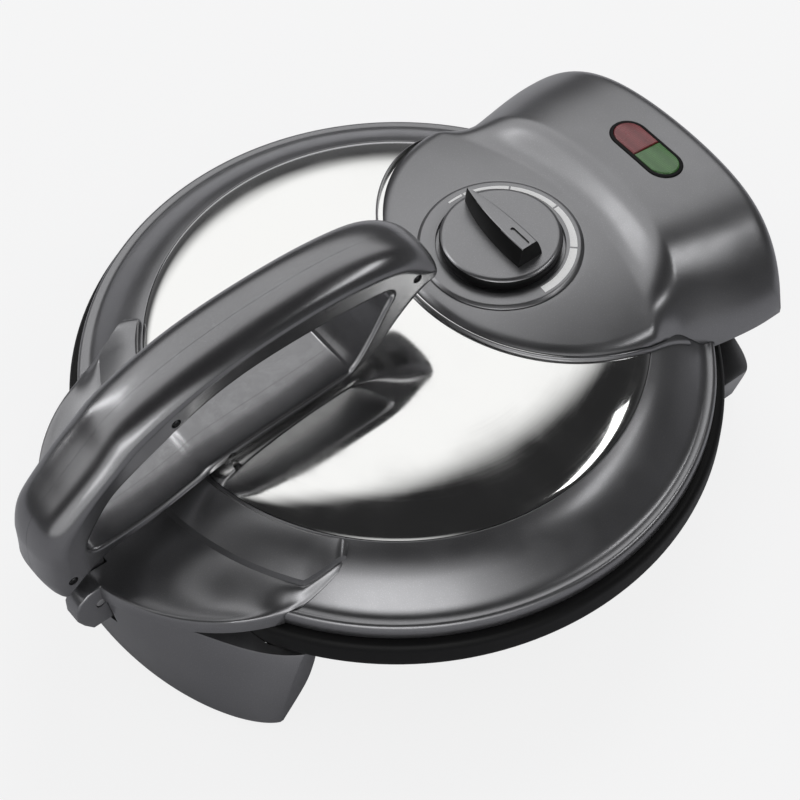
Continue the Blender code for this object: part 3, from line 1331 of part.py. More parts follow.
def make_thermostat():
    top = thermostat_top()
    size = (THERMOSTAT_SIZE, THERMOSTAT_SIZE, THERMOSTAT_DEPTH)
    body = block(size, (0.0, KNOB_Y, top - THERMOSTAT_DEPTH / 2.0))
    body = make_object("thermostat_body", finish_mesh("thermostat_body", body), lid, ivory)
    soften(body, RUN, 1)
    size = (THERMOSTAT_PLATE_LENGTH, THERMOSTAT_SIZE * 0.9, THERMOSTAT_PLATE)
    plate = block(size, (0.0, KNOB_Y, top + FIT + THERMOSTAT_PLATE / 2.0))
    plate = make_object("thermostat_plate", finish_mesh("thermostat_plate", plate), lid, steel)
    return combine(plate, bpy.data.objects["shaft_hole_tool"])


# Indicator window


def stadium(half, round_radius):
    """Plan of a slot with round ends, anticlockwise."""
    straight = half - round_radius
    right = circle_points(round_radius, (straight, 0.0), -90.0, 90.0, WINDOW_ARC_COUNT)
    left = circle_points(round_radius, (-straight, 0.0), 90.0, 270.0, WINDOW_ARC_COUNT)
    return right + left


def window_place():
    lean = atan2(BOX_REAR_DROP, BOX_REAR - BOX_ROOF_FRONT)
    at = Matrix.Translation((0.0, LENS_Y, roof_height(LENS_Y)))
    return at @ Matrix.Rotation(-lean, 4, "X")


def window_prism(plan, low, high):
    build = prism_z(plan, low, high)
    bmesh.ops.transform(build, matrix=window_place(), verts=build.verts)
    return build


def make_window():
    """A dark frame in the roof with a red half and a green half, and a lamp under each."""
    plan = stadium(LENS_HALF + LENS_FRAME, LENS_ROUND + LENS_FRAME)
    frame = window_prism(plan, -LENS_THICKNESS, LENS_PROUD * 0.6)
    frame = make_object("lens_frame", finish_mesh("lens_frame", frame), lid, black)
    name = "lens_frame_tool"
    hole = window_prism(stadium(LENS_HALF + FIT, LENS_ROUND + FIT), -OVERRUN, OVERRUN)
    combine(frame, make_object(name, finish_mesh(name, hole), device))
    straight = LENS_HALF - LENS_ROUND
    for name, sign, material in (("lens_red", -1.0, red_lens), ("lens_green", 1.0, green_lens)):
        arc = circle_points(LENS_ROUND, (straight, 0.0), -90.0, 90.0, WINDOW_ARC_COUNT)
        plan = [(FIT / 2.0, -LENS_ROUND)] + arc + [(FIT / 2.0, LENS_ROUND)]
        plan = [(sign * x, y) for x, y in plan]
        mesh = finish_mesh(name, window_prism(plan, -LENS_THICKNESS, LENS_PROUD))
        lens = make_object(name, mesh, lid, material)
        soften(lens, LENS_PROUD * 0.5, 2)
        lamp = name.replace("lens", "lamp")
        side = sign * LENS_HALF / 2.0
        start = window_place() @ Vector((side, 0.0, -LENS_THICKNESS - FIT - LAMP_LENGTH))
        end = window_place() @ Vector((side, 0.0, -LENS_THICKNESS - FIT))
        make_object(lamp, finish_mesh(lamp, rod(LAMP_RADIUS, start, end)), lid, ivory)


clear_scene()
device = make_axis(DEVICE, (0.0, SHIFT, LIFT))
base = device
lid = make_axis("lid_hinge_axis", (0.0, HINGE_Y, HINGE_Z), device)
handle = make_axis("press_handle_axis", (0.0, PIVOT_Y, PIVOT_Z), lid)
knob = make_axis("knob_axis", (0.0, KNOB_Y, HEAD_PLANE), lid)

grey = make_material("grey_plastic", (0.085, 0.085, 0.09), 0.32, 0.45)
black = make_material("black_plastic", (0.012, 0.012, 0.013), 0.45, 0.0)
chrome = make_material("polished_steel", (0.80, 0.80, 0.79), 0.07, 1.0)
coating = make_material("dark_coating", (0.03, 0.03, 0.032), 0.38, 0.2)
steel = make_material("plated_steel", (0.55, 0.55, 0.56), 0.30, 1.0)
rubber = make_material("black_rubber", (0.015, 0.015, 0.015), 0.85, 0.0)
ivory = make_material("ivory_plastic", (0.70, 0.67, 0.58), 0.5, 0.0)
red_lens = make_material("red_lens", (0.20, 0.03, 0.035), 0.25, 0.0)
green_lens = make_material("green_lens", (0.05, 0.13, 0.035), 0.25, 0.0)

lid_tool = hide_tool(lid_envelope("lid_tool", FIT))
bowl_tool = hide_tool(base_envelope())
make_lid_ring()
make_dome()
make_lid_pan()
make_plates()
make_heaters()
make_base_shell()
make_bottom_cover()
make_front_foot()
make_rear_foot()
make_pads()
make_gland()
make_terminal_block()
make_front_bracket()
make_handle()
make_handle_screws()
make_head_cover()
make_head_trim()
make_head_base()
make_hinge()
make_dial()
make_knob()
make_thermostat()
make_window()
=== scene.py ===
import bpy
import bmesh
from math import atan2, cos, hypot, pi, radians, sin, sqrt
from mathutils import Matrix, Vector


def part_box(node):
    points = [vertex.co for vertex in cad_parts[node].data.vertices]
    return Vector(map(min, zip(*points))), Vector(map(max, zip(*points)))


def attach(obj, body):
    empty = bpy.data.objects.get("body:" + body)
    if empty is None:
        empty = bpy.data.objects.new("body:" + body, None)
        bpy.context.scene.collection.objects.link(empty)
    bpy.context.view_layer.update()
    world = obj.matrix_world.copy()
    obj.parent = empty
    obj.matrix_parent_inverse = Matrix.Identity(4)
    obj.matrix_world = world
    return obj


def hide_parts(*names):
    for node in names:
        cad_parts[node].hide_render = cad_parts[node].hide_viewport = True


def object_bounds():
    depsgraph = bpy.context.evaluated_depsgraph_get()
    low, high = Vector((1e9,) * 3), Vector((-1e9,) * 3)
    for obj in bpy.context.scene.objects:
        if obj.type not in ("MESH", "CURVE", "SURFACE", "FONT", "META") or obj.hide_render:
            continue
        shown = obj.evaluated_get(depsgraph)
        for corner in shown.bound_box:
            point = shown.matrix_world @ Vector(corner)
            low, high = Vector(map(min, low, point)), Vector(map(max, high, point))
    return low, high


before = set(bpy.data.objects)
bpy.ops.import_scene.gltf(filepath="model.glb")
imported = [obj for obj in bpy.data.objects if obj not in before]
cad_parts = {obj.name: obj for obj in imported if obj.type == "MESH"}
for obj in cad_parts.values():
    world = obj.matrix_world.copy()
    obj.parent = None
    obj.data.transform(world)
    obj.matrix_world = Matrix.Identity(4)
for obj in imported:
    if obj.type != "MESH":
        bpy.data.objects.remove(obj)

# every shape below is drawn in millimetres round the lid's lip, then placed in the frame
mm = 0.001
cadLow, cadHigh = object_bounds()
lipLow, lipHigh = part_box("lid_ring")
lipMiddle = Vector(((lipLow.x + lipHigh.x) / 2, (lipLow.y + lipHigh.y) / 2, lipLow.z))
toFrame = Matrix.Translation(lipMiddle) @ Matrix.Scale(mm, 4)
scene = bpy.context.scene
print("frame loaded:", len(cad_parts), "nodes")


# small helpers for lines and tables

def blend(start, end, share):
    return start + (end - start) * share


def ease(share):
    share = min(1.0, max(0.0, share))
    return share * share * (3 - 2 * share)


def lookUp(table, share):
    for (a, b), (c, d) in zip(table, table[1:]):
        if a <= share <= c and c > a:
            return blend(b, d, (share - a) / (c - a))
    return table[0][1] if share < table[0][0] else table[-1][1]


def smoothLine(points, steps, closed=False):
    # a curve through every point
    count = len(points)
    line = []
    for k in range(count if closed else count - 1):
        a, b, c, d = (
            Vector(points[(k + s) % count] if closed else points[min(max(k + s, 0), count - 1)])
            for s in (-1, 0, 1, 2)
        )
        for s in range(steps):
            t = s / steps
            line.append(tuple(0.5 * (2 * b + (c - a) * t + (2 * a - 5 * b + 4 * c - d) * t ** 2
                                     + (3 * b - a - 3 * c + d) * t ** 3)))
    return line if closed else line + [tuple(points[-1])]


def softCorners(points, size, steps=3):
    # rounds the corners of a closed outline, but leaves corners on the turning axis alone
    soft = []
    for k, point in enumerate(points):
        here = Vector(point)
        back = Vector(points[k - 1]) - here
        onward = Vector(points[(k + 1) % len(points)]) - here
        if min(here.x, back.length, onward.length) < 0.001 or back.angle(onward) > radians(155):
            soft.append(tuple(here))
            continue
        start = here + back.normalized() * min(size, back.length * 0.4)
        end = here + onward.normalized() * min(size, onward.length * 0.4)
        for s in range(steps + 1):
            t = s / steps
            soft.append(tuple(start * (1 - t) ** 2 + here * 2 * t * (1 - t) + end * t * t))
    return soft


def outward(points):
    # unit directions away from a closed anticlockwise plan, with the stretch that corners need
    count = len(points)
    result = []
    for k, point in enumerate(points):
        one = (Vector(point) - Vector(points[k - 1])).normalized()
        two = (Vector(points[(k + 1) % count]) - Vector(point)).normalized()
        normal = Vector((one.y + two.y, -one.x - two.x)).normalized()
        lean = max(0.5, normal.dot(Vector((one.y, -one.x))))
        result.append(normal / lean)
    return result


def grownPlan(points, distance):
    return [(a + n.x * distance, b + n.y * distance) for (a, b), n in zip(points, outward(points))]


def arcPoints(radius, middle, start, end, count):
    angles = [radians(blend(start, end, k / count)) for k in range(count + 1)]
    return [(middle[0] + radius * cos(a), middle[1] + radius * sin(a)) for a in angles]


def crowded(count):
    # shares from 0 to 1 that stand closer together near both ends
    return [(1 - cos(pi * k / count)) / 2 for k in range(count + 1)]


# small helpers for meshes

def joinRings(build, ring, after):
    if len(ring) == 1 and len(after) == 1:
        return
    for k in range(max(len(ring), len(after))):
        corners = [ring[k % len(ring)], ring[(k + 1) % len(ring)]]
        corners += [after[(k + 1) % len(after)], after[k % len(after)]]
        build.faces.new(list(dict.fromkeys(corners)))


def ringsOf(build, rings):
    return [[build.verts.new(p) for p in ring] for ring in rings]


def turned(outline, steps, centre=(0.0, 0.0)):
    # turns a closed outline of (radius, height) pairs
    build = bmesh.new()
    rings = []
    for radius, height in outline:
        if radius < 0.001:
            rings.append([(centre[0], centre[1], height)])
            continue
        turn = [2 * pi * k / steps for k in range(steps)]
        rings.append([(centre[0] + radius * cos(a), centre[1] + radius * sin(a), height) for a in turn])
    rings = ringsOf(build, rings)
    for ring, after in zip(rings, rings[1:] + rings[:1]):
        joinRings(build, ring, after)
    return build


def loft(rings):
    # joins closed rings in order and caps both ends
    build = bmesh.new()
    rings = ringsOf(build, rings)
    for ring, after in zip(rings, rings[1:]):
        joinRings(build, ring, after)
    build.faces.new(rings[0])
    build.faces.new(rings[-1])
    return build


def slab(front, back, build=None):
    # closes the space between two grids of points
    if build is None:
        build = bmesh.new()
    fore, rear = ringsOf(build, front), ringsOf(build, back)
    rows, columns = len(fore), len(fore[0])
    for i in range(rows - 1):
        for j in range(columns - 1):
            build.faces.new((fore[i][j], fore[i + 1][j], fore[i + 1][j + 1], fore[i][j + 1]))
            build.faces.new((rear[i][j], rear[i][j + 1], rear[i + 1][j + 1], rear[i + 1][j]))
    edge = [(i, 0) for i in range(rows)] + [(rows - 1, j) for j in range(1, columns)]
    edge += [(i, columns - 1) for i in range(rows - 2, -1, -1)]
    edge += [(0, j) for j in range(columns - 2, 0, -1)]
    for (a, b), (c, d) in zip(edge, edge[1:] + edge[:1]):
        build.faces.new((fore[a][b], fore[c][d], rear[c][d], rear[a][b]))
    return build


def softPrism(outline, start, end, place, rounding=1.0):
    # a prism whose end edges are rounded: place turns (a, b, along) into a point
    rings = []
    reach = min(rounding, abs(end - start) * 0.4)
    sign = 1 if end > start else -1
    steps = [(0, 1.0), (0.08, 0.62), (0.3, 0.28), (0.62, 0.07), (1.0, 0.0)]
    levels = [(start + sign * along * reach, inset) for along, inset in steps]
    levels += [(end - sign * along * reach, inset) for along, inset in reversed(steps)]
    for level, inset in levels:
        rings.append([place(a, b, level) for a, b in grownPlan(outline, -inset * reach)])
    return loft(rings)


def acrossX(y, z, x):
    return (x, y, z)


def upwards(x, y, z):
    return (x, y, z)


def rodBetween(start, end, radius, steps=32, rounding=0.4):
    start, end = Vector(start), Vector(end)
    turn = (end - start).to_track_quat("Z", "X").to_matrix()
    plan = arcPoints(radius, (0, 0), 0, 360 - 360 / steps, steps - 1)

    def place(a, b, along):
        return tuple(start + turn @ Vector((a, b, along)))

    return softPrism(plan, 0, (end - start).length, place, rounding)


def boxOf(low, high):
    build = bmesh.new()
    middle = (Vector(low) + Vector(high)) / 2
    size = Vector(high) - Vector(low)
    bmesh.ops.create_cube(build, size=1.0, matrix=Matrix.Translation(middle) @ Matrix.Diagonal((*size, 1)))
    return build


def nodeBox(name):
    # a CAD node's box in the drawing's millimetres
    return [(corner - lipMiddle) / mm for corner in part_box(name)]


def makePiece(name, build, material, sharp=35):
    bmesh.ops.remove_doubles(build, verts=build.verts, dist=0.0005)
    bmesh.ops.recalc_face_normals(build, faces=build.faces)
    bmesh.ops.transform(build, matrix=toFrame, verts=build.verts)
    mesh = bpy.data.meshes.new(name)
    build.to_mesh(mesh)
    build.free()
    piece = bpy.data.objects.new(name, mesh)
    scene.collection.objects.link(piece)
    if material is not None:
        mesh.materials.append(material)
    shadeByAngle(piece, sharp)
    return piece


def shadeByAngle(piece, sharp):
    piece.data.shade_smooth()
    piece.data.set_sharp_from_angle(angle=radians(sharp))


def carve(piece, build, operation="DIFFERENCE", sharp=35):
    # applies a boolean at once and removes its tool
    tool = makePiece("carvingTool", build, None)
    step = piece.modifiers.new("carve", "BOOLEAN")
    step.operation = operation
    step.solver = "EXACT"
    step.object = tool
    replaceMesh(piece, sharp)
    bpy.data.meshes.remove(tool.data)
    return piece


def replaceMesh(piece, sharp=35):
    # keeps the result of the piece's modifiers as its mesh
    graph = bpy.context.evaluated_depsgraph_get()
    mesh = bpy.data.meshes.new_from_object(piece.evaluated_get(graph), depsgraph=graph)
    old = piece.data
    name = old.name
    piece.modifiers.clear()
    piece.data = mesh
    bpy.data.meshes.remove(old)
    mesh.name = name
    shadeByAngle(piece, sharp)
    return piece


def softenEdges(piece, width, angle=40, segments=2):
    step = piece.modifiers.new("softEdges", "BEVEL")
    step.width = width * mm
    step.segments = segments
    step.limit_method = "ANGLE"
    step.angle_limit = radians(angle)
    step.harden_normals = False
    replaceMesh(piece, 50)
    return piece


def settle(piece, body, slot, *nodes):
    # the piece rides on its body and stands for its CAD nodes
    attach(piece, body)
    if nodes:
        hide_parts(*nodes)
    return piece


def numbered(name, count):
    return ["%s_%d" % (name, k + 1) for k in range(count)]


def bothSides(*names):
    return [name + side for name in names for side in ("_left", "_right")]


def dress(material, *nodes):
    # gives CAD nodes that stay a finished material
    for name in nodes:
        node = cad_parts[name]
        node.data.materials.clear()
        node.data.materials.append(material)
        shadeByAngle(node, 40)


# shader groups that several materials share

def startGroup(name, inputs, outputs):
    group = bpy.data.node_groups.new(name, "ShaderNodeTree")
    for label, kind, value in inputs:
        socket = group.interface.new_socket(name=label, in_out="INPUT", socket_type=kind)
        socket.default_value = value
    for label, kind in outputs:
        group.interface.new_socket(name=label, in_out="OUTPUT", socket_type=kind)
    return group, group.nodes.new("NodeGroupInput"), group.nodes.new("NodeGroupOutput")


def mathNode(tree, kind, first, second=None):
    node = tree.nodes.new("ShaderNodeMath")
    node.operation = kind
    for socket, value in zip(node.inputs, (first, second)):
        if value is None:
            continue
        if isinstance(value, (int, float)):
            socket.default_value = value
        else:
            tree.links.new(value, socket)
    return node.outputs[0]


def noiseNode(tree, scale, detail=2.0, roughness=0.5, stretch=None):
    # noise in the object's own metres, so the grain keeps its real size
    place = tree.nodes.new("ShaderNodeTexCoord").outputs["Object"]
    if stretch is not None:
        mapping = tree.nodes.new("ShaderNodeMapping")
        mapping.inputs["Scale"].default_value = stretch
        tree.links.new(place, mapping.inputs["Vector"])
        place = mapping.outputs[0]
    noise = tree.nodes.new("ShaderNodeTexNoise")
    noise.inputs["Detail"].default_value = detail
    noise.inputs["Roughness"].default_value = roughness
    tree.links.new(place, noise.inputs["Vector"])
    if isinstance(scale, (int, float)):
        noise.inputs["Scale"].default_value = scale
    else:
        tree.links.new(scale, noise.inputs["Scale"])
    return noise.outputs["Fac"]


def rangeNode(tree, value, low, high, toLow=0.0, toHigh=1.0):
    node = tree.nodes.new("ShaderNodeMapRange")
    node.interpolation_type = "SMOOTHSTEP"
    tree.links.new(value, node.inputs["Value"])
    for socket, level in (("From Min", low), ("From Max", high), ("To Min", toLow), ("To Max", toHigh)):
        if isinstance(level, (int, float)):
            node.inputs[socket].default_value = level
        else:
            tree.links.new(level, node.inputs[socket])
    return node.outputs["Result"]


def mixColor(tree, share, first, second, kind="MIX"):
    node = tree.nodes.new("ShaderNodeMix")
    node.data_type = "RGBA"
    node.blend_type = kind
    for socket, value in ((node.inputs["Factor"], share), (node.inputs[6], first), (node.inputs[7], second)):
        if isinstance(value, (int, float, tuple)):
            socket.default_value = value
        else:
            tree.links.new(value, socket)
    return node.outputs[2]


def flakePaintGroup():
    # metallic flakes in moulded plastic, over a slow drift of tone
    group, into, out = startGroup(
        "flakePaint",
        [("Color", "NodeSocketColor", (0.08, 0.08, 0.08, 1)),
         ("Flake Color", "NodeSocketColor", (0.3, 0.3, 0.3, 1)), ("Flake Amount", "NodeSocketFloat", 0.3),
         ("Flake Scale", "NodeSocketFloat", 2600.0),
         ("Drift", "NodeSocketFloat", 0.1)],
        [("Color", "NodeSocketColor"), ("Mask", "NodeSocketFloat")],
    )
    flakes = rangeNode(group, noiseNode(group, into.outputs["Flake Scale"], 1.0), 0.56, 0.74)
    mask = mathNode(group, "MULTIPLY", flakes, into.outputs["Flake Amount"])
    drift = rangeNode(group, noiseNode(group, 22.0, 3.0), 0.3, 0.7, -1.0, 1.0)
    tone = mathNode(group, "ADD", mathNode(group, "MULTIPLY", drift, into.outputs["Drift"]), 1.0)
    toned = group.nodes.new("ShaderNodeVectorMath")
    toned.operation = "SCALE"
    group.links.new(into.outputs["Color"], toned.inputs[0])
    group.links.new(tone, toned.inputs["Scale"])
    group.links.new(mixColor(group, mask, toned.outputs[0], into.outputs["Flake Color"]), out.inputs["Color"])
    group.links.new(mask, out.inputs["Mask"])
    return group


def handledGroup():
    # smudges and fine unevenness left by moulding and by hands
    group, into, out = startGroup(
        "handledSurface",
        [("Roughness", "NodeSocketFloat", 0.3), ("Smudge", "NodeSocketFloat", 0.08),
         ("Smudge Scale", "NodeSocketFloat", 45.0), ("Grain Scale", "NodeSocketFloat", 1400.0)],
        [("Roughness", "NodeSocketFloat"), ("Height", "NodeSocketFloat")],
    )
    patches = rangeNode(group, noiseNode(group, into.outputs["Smudge Scale"], 4.0, 0.6), 0.35, 0.7, -0.5, 1.0)
    amount = mathNode(group, "MULTIPLY", patches, into.outputs["Smudge"])
    group.links.new(mathNode(group, "ADD", into.outputs["Roughness"], amount), out.inputs["Roughness"])
    group.links.new(noiseNode(group, into.outputs["Grain Scale"], 2.0), out.inputs["Height"])
    return group


def edgeWearAndHighlightGroup():
    # a mask of the convex edges, broken up by noise; the masked edges turn lighter, partly wear and partly a
    # painted highlight
    group, into, out = startGroup(
        "edgeWearAndHighlight",
        [("Color", "NodeSocketColor", (0.1, 0.1, 0.1, 1)),
         ("Worn Color", "NodeSocketColor", (0.3, 0.3, 0.3, 1)), ("Amount", "NodeSocketFloat", 0.3)],
        [("Color", "NodeSocketColor"), ("Mask", "NodeSocketFloat")],
    )
    shape = group.nodes.new("ShaderNodeNewGeometry")
    edges = rangeNode(group, shape.outputs["Pointiness"], 0.53, 0.60)
    broken = rangeNode(group, noiseNode(group, 160.0, 4.0), 0.42, 0.62)
    mask = mathNode(group, "MULTIPLY", mathNode(group, "MULTIPLY", edges, broken), into.outputs["Amount"])
    # painted highlight and wear: convex edges are mixed towards the lighter colour
    wornAndHighlight = mixColor(group, mask, into.outputs["Color"], into.outputs["Worn Color"])
    group.links.new(wornAndHighlight, out.inputs["Color"])
    group.links.new(mask, out.inputs["Mask"])
    return group


def turnedLinesGroup():
    # fine rings left by turning or spinning a round part about the plates' axis
    group, into, out = startGroup(
        "turnedLines",
        [("Lines per Metre", "NodeSocketFloat", 900.0), ("Roughness", "NodeSocketFloat", 0.2),
         ("Variation", "NodeSocketFloat", 0.05)],
        [("Roughness", "NodeSocketFloat"), ("Height", "NodeSocketFloat")],
    )
    place = group.nodes.new("ShaderNodeTexCoord").outputs["Object"]
    shifted = group.nodes.new("ShaderNodeVectorMath")
    shifted.operation = "SUBTRACT"
    group.links.new(place, shifted.inputs[0])
    shifted.inputs[1].default_value = lipMiddle
    flat = group.nodes.new("ShaderNodeVectorMath")
    flat.operation = "MULTIPLY"
    flat.inputs[1].default_value = (1, 1, 0)
    group.links.new(shifted.outputs[0], flat.inputs[0])
    reach = group.nodes.new("ShaderNodeVectorMath")
    reach.operation = "LENGTH"
    group.links.new(flat.outputs[0], reach.inputs[0])
    noise = group.nodes.new("ShaderNodeTexNoise")
    noise.noise_dimensions = "1D"
    noise.inputs["Detail"].default_value = 3.0
    noise.inputs["Scale"].default_value = 1.0
    turns = mathNode(group, "MULTIPLY", reach.outputs["Value"], into.outputs["Lines per Metre"])
    group.links.new(turns, noise.inputs["W"])
    lines = noise.outputs["Fac"]
    change = mathNode(group, "MULTIPLY", mathNode(group, "SUBTRACT", lines, 0.5), into.outputs["Variation"])
    group.links.new(mathNode(group, "ADD", into.outputs["Roughness"], change), out.inputs["Roughness"])
    group.links.new(lines, out.inputs["Height"])
    return group


groups = {
    "flakes": flakePaintGroup(), "handled": handledGroup(), "wearAndHighlight": edgeWearAndHighlightGroup(),
    "turnedLines": turnedLinesGroup(),
}
print("shader groups made:", ", ".join(groups))


def useGroup(material, key, **values):
    node = material.node_tree.nodes.new("ShaderNodeGroup")
    node.node_tree = groups[key]
    for label, value in values.items():
        socket = node.inputs[label.replace("_", " ")]
        if isinstance(value, (int, float, tuple)):
            socket.default_value = value
        else:
            material.node_tree.links.new(value, socket)
    return node


def startMaterial(name, metallic=0.0, coat=0.0, coatRoughness=0.1, specular=0.5):
    material = bpy.data.materials.new(name)
    material.use_nodes = True
    shader = material.node_tree.nodes["Principled BSDF"]
    shader.inputs["Metallic"].default_value = metallic
    shader.inputs["Coat Weight"].default_value = coat
    shader.inputs["Coat Roughness"].default_value = coatRoughness
    shader.inputs["Specular IOR Level"].default_value = specular
    return material, shader


def addBump(material, shader, height, distance, strength=0.3):
    bump = material.node_tree.nodes.new("ShaderNodeBump")
    bump.inputs["Strength"].default_value = strength
    bump.inputs["Distance"].default_value = distance * mm
    material.node_tree.links.new(height, bump.inputs["Height"])
    material.node_tree.links.new(bump.outputs["Normal"], shader.inputs["Normal"])


def joinShader(material, shader, color, surface, depth, strength=0.3, height=None):
    # joins a colour, a group's roughness and a fine height to the shader
    links = material.node_tree.links
    links.new(color, shader.inputs["Base Color"])
    links.new(surface["Roughness"], shader.inputs["Roughness"])
    addBump(material, shader, surface["Height"] if height is None else height, depth, strength)
    return material


def grey(value):
    return (value, value, value * 1.03, 1)


def mouldedPlastic(name, look):
    # coloured plastic with flakes, worn edges that are also lightened as a painted highlight, and handled
    # roughness
    layers = [look[key] for key in ("metallic", "coat", "coatRoughness", "specular")]
    material, shader = startMaterial(name, *layers)
    flakes = useGroup(
        material, "flakes", Color=grey(look["tone"]), Flake_Color=grey(look["flakeTone"]),
        Flake_Amount=look["flakes"], Flake_Scale=look["flakeScale"], Drift=look["drift"],
    )
    # lighter convex edges: wear and a painted edge highlight
    wearAndHighlight = useGroup(
        material, "wearAndHighlight", Color=flakes.outputs["Color"], Worn_Color=grey(look["wornAndHighlightTone"]), Amount=look["wearAndHighlight"],
    )
    handled = useGroup(
        material, "handled", Roughness=look["roughness"], Smudge=look["smudge"], Grain_Scale=look["grainScale"],
    )
    return joinShader(material, shader, wearAndHighlight.outputs["Color"], handled.outputs, look["grainDepth"])


greyShellLook = {
    "tone": 0.27, "flakeTone": 0.50, "flakes": 0.25, "flakeScale": 2600.0, "drift": 0.03, "metallic": 0.9,
    "coat": 0.15, "coatRoughness": 0.16, "roughness": 0.30, "smudge": 0.03, "wornAndHighlightTone": 0.38, "wearAndHighlight": 0.15,
    "grainScale": 1500.0, "grainDepth": 0.01, "specular": 0.5,
}
handleLook = dict(greyShellLook, tone=0.24, coat=0.3, coatRoughness=0.10, roughness=0.24)
blackShellLook = dict(
    greyShellLook, tone=0.006, flakeTone=0.02, flakes=0.2, metallic=0.0, coat=0.0, roughness=0.46,
    wornAndHighlightTone=0.02, specular=0.18,
)
greyShell = mouldedPlastic("greyShell", greyShellLook)
handlePlastic = mouldedPlastic("handlePlastic", handleLook)
blackShell = mouldedPlastic("blackShell", blackShellLook)


def makeMirrorSteel():
    look = {
        "tone": (0.93, 0.93, 0.915, 1), "roughness": 0.085, "variation": 0.05, "smudge": 0.05, "lines": 700.0,
    }
    material, shader = startMaterial("mirrorSteel", metallic=1.0)
    links = material.node_tree.links
    handled = useGroup(
        material, "handled", Roughness=look["roughness"], Smudge=look["smudge"], Smudge_Scale=28.0,
    )
    lines = useGroup(
        material, "turnedLines", Lines_per_Metre=look["lines"], Roughness=handled.outputs["Roughness"],
        Variation=look["variation"],
    )
    shader.inputs["Base Color"].default_value = look["tone"]
    links.new(lines.outputs["Roughness"], shader.inputs["Roughness"])
    addBump(material, shader, lines.outputs["Height"], 0.01, 0.08)
    return material


def makeCookingCoat():
    # dark non-stick coating with a fine pebble and faint turning rings
    look = {"tone": 0.022, "rubbedAndHighlight": 0.06, "roughness": 0.40, "pebble": 0.05, "pebbleScale": 1100.0}
    material, shader = startMaterial("cookingCoat", metallic=0.1, coat=0.1, coatRoughness=0.3)
    lines = useGroup(
        material, "turnedLines", Lines_per_Metre=400.0, Roughness=look["roughness"], Variation=0.12,
    )
    flakes = useGroup(
        material, "flakes", Color=grey(look["tone"]), Flake_Color=grey(0.16), Flake_Amount=0.4,
        Flake_Scale=1500.0, Drift=0.15,
    )
    # lighter convex edges: rubbed wear and a painted edge highlight
    wearAndHighlight = useGroup(
        material, "wearAndHighlight", Color=flakes.outputs["Color"], Worn_Color=grey(look["rubbedAndHighlight"]), Amount=0.6,
    )
    pebble = noiseNode(material.node_tree, look["pebbleScale"], 2.0)
    return joinShader(material, shader, wearAndHighlight.outputs["Color"], lines.outputs, look["pebble"], 0.4, pebble)


def makeMetal(name, tone, roughness, smudge, tint=(1.0, 1.0, 1.0)):
    material, shader = startMaterial(name, metallic=1.0)
    color = tuple(tone * t for t in tint) + (1,)
    # lighter convex edges: wear and a painted edge highlight
    wearAndHighlight = useGroup(material, "wearAndHighlight", Color=color, Worn_Color=(0.8, 0.8, 0.8, 1), Amount=0.4)
    handled = useGroup(material, "handled", Roughness=roughness, Smudge=smudge, Smudge_Scale=90.0)
    return joinShader(material, shader, wearAndHighlight.outputs["Color"], handled.outputs, 0.02)


def makeRubber():
    material, shader = startMaterial("padRubber", specular=0.3)
    flakes = useGroup(
        material, "flakes", Color=grey(0.014), Flake_Color=(0.09, 0.085, 0.08, 1), Flake_Amount=0.25,
        Flake_Scale=700.0, Drift=0.3,
    )
    handled = useGroup(
        material, "handled", Roughness=0.82, Smudge=0.1, Smudge_Scale=120.0, Grain_Scale=2200.0,
    )
    return joinShader(material, shader, flakes.outputs["Color"], handled.outputs, 0.08, 0.5)


def makeLens(name, tone, deepTone):
    # coloured clear plastic with tiny prisms behind it, seen as a fine lattice
    material, shader = startMaterial(name, coat=0.6, coatRoughness=0.12)
    tree = material.node_tree
    place = tree.nodes.new("ShaderNodeTexCoord").outputs["Object"]
    lattice = tree.nodes.new("ShaderNodeTexVoronoi")
    lattice.inputs["Scale"].default_value = 900.0
    lattice.inputs["Randomness"].default_value = 0.15
    tree.links.new(place, lattice.inputs["Vector"])
    share = rangeNode(tree, lattice.outputs["Distance"], 0.1, 0.6)
    handled = useGroup(material, "handled", Roughness=0.24, Smudge=0.1)
    color = mixColor(tree, share, tone, deepTone)
    return joinShader(material, shader, color, handled.outputs, 0.1, 0.25, lattice.outputs["Distance"])


def makeMattePart(name, color, roughness):
    material, shader = startMaterial(name)
    flakes = useGroup(
        material, "flakes", Color=color, Flake_Color=tuple(c * 0.7 for c in color[:3]) + (1,), Flake_Amount=0.3,
        Flake_Scale=900.0, Drift=0.05,
    )
    handled = useGroup(material, "handled", Roughness=roughness, Smudge=0.08)
    return joinShader(material, shader, flakes.outputs["Color"], handled.outputs, 0.02)


mirrorSteel = makeMirrorSteel()
cookingCoat = makeCookingCoat()
platedSteel = makeMetal("platedSteel", 0.52, 0.28, 0.12)
heaterSheath = makeMetal("heaterSheath", 0.34, 0.42, 0.2, tint=(1.0, 0.93, 0.82))
screwSteel = makeMetal("screwSteel", 0.30, 0.30, 0.1)
padRubber = makeRubber()
redLens = makeLens("redLens", (0.26, 0.05, 0.055, 1), (0.14, 0.02, 0.024, 1))
greenLens = makeLens("greenLens", (0.075, 0.20, 0.055, 1), (0.04, 0.12, 0.03, 1))
ivoryPart = makeMattePart("ivoryPart", (0.68, 0.65, 0.56, 1), 0.45)
whitePrint = makeMattePart("whitePrint", (0.93, 0.93, 0.92, 1), 0.5)
print("materials made:", len(bpy.data.materials))


# the lid's outline, which many pieces follow

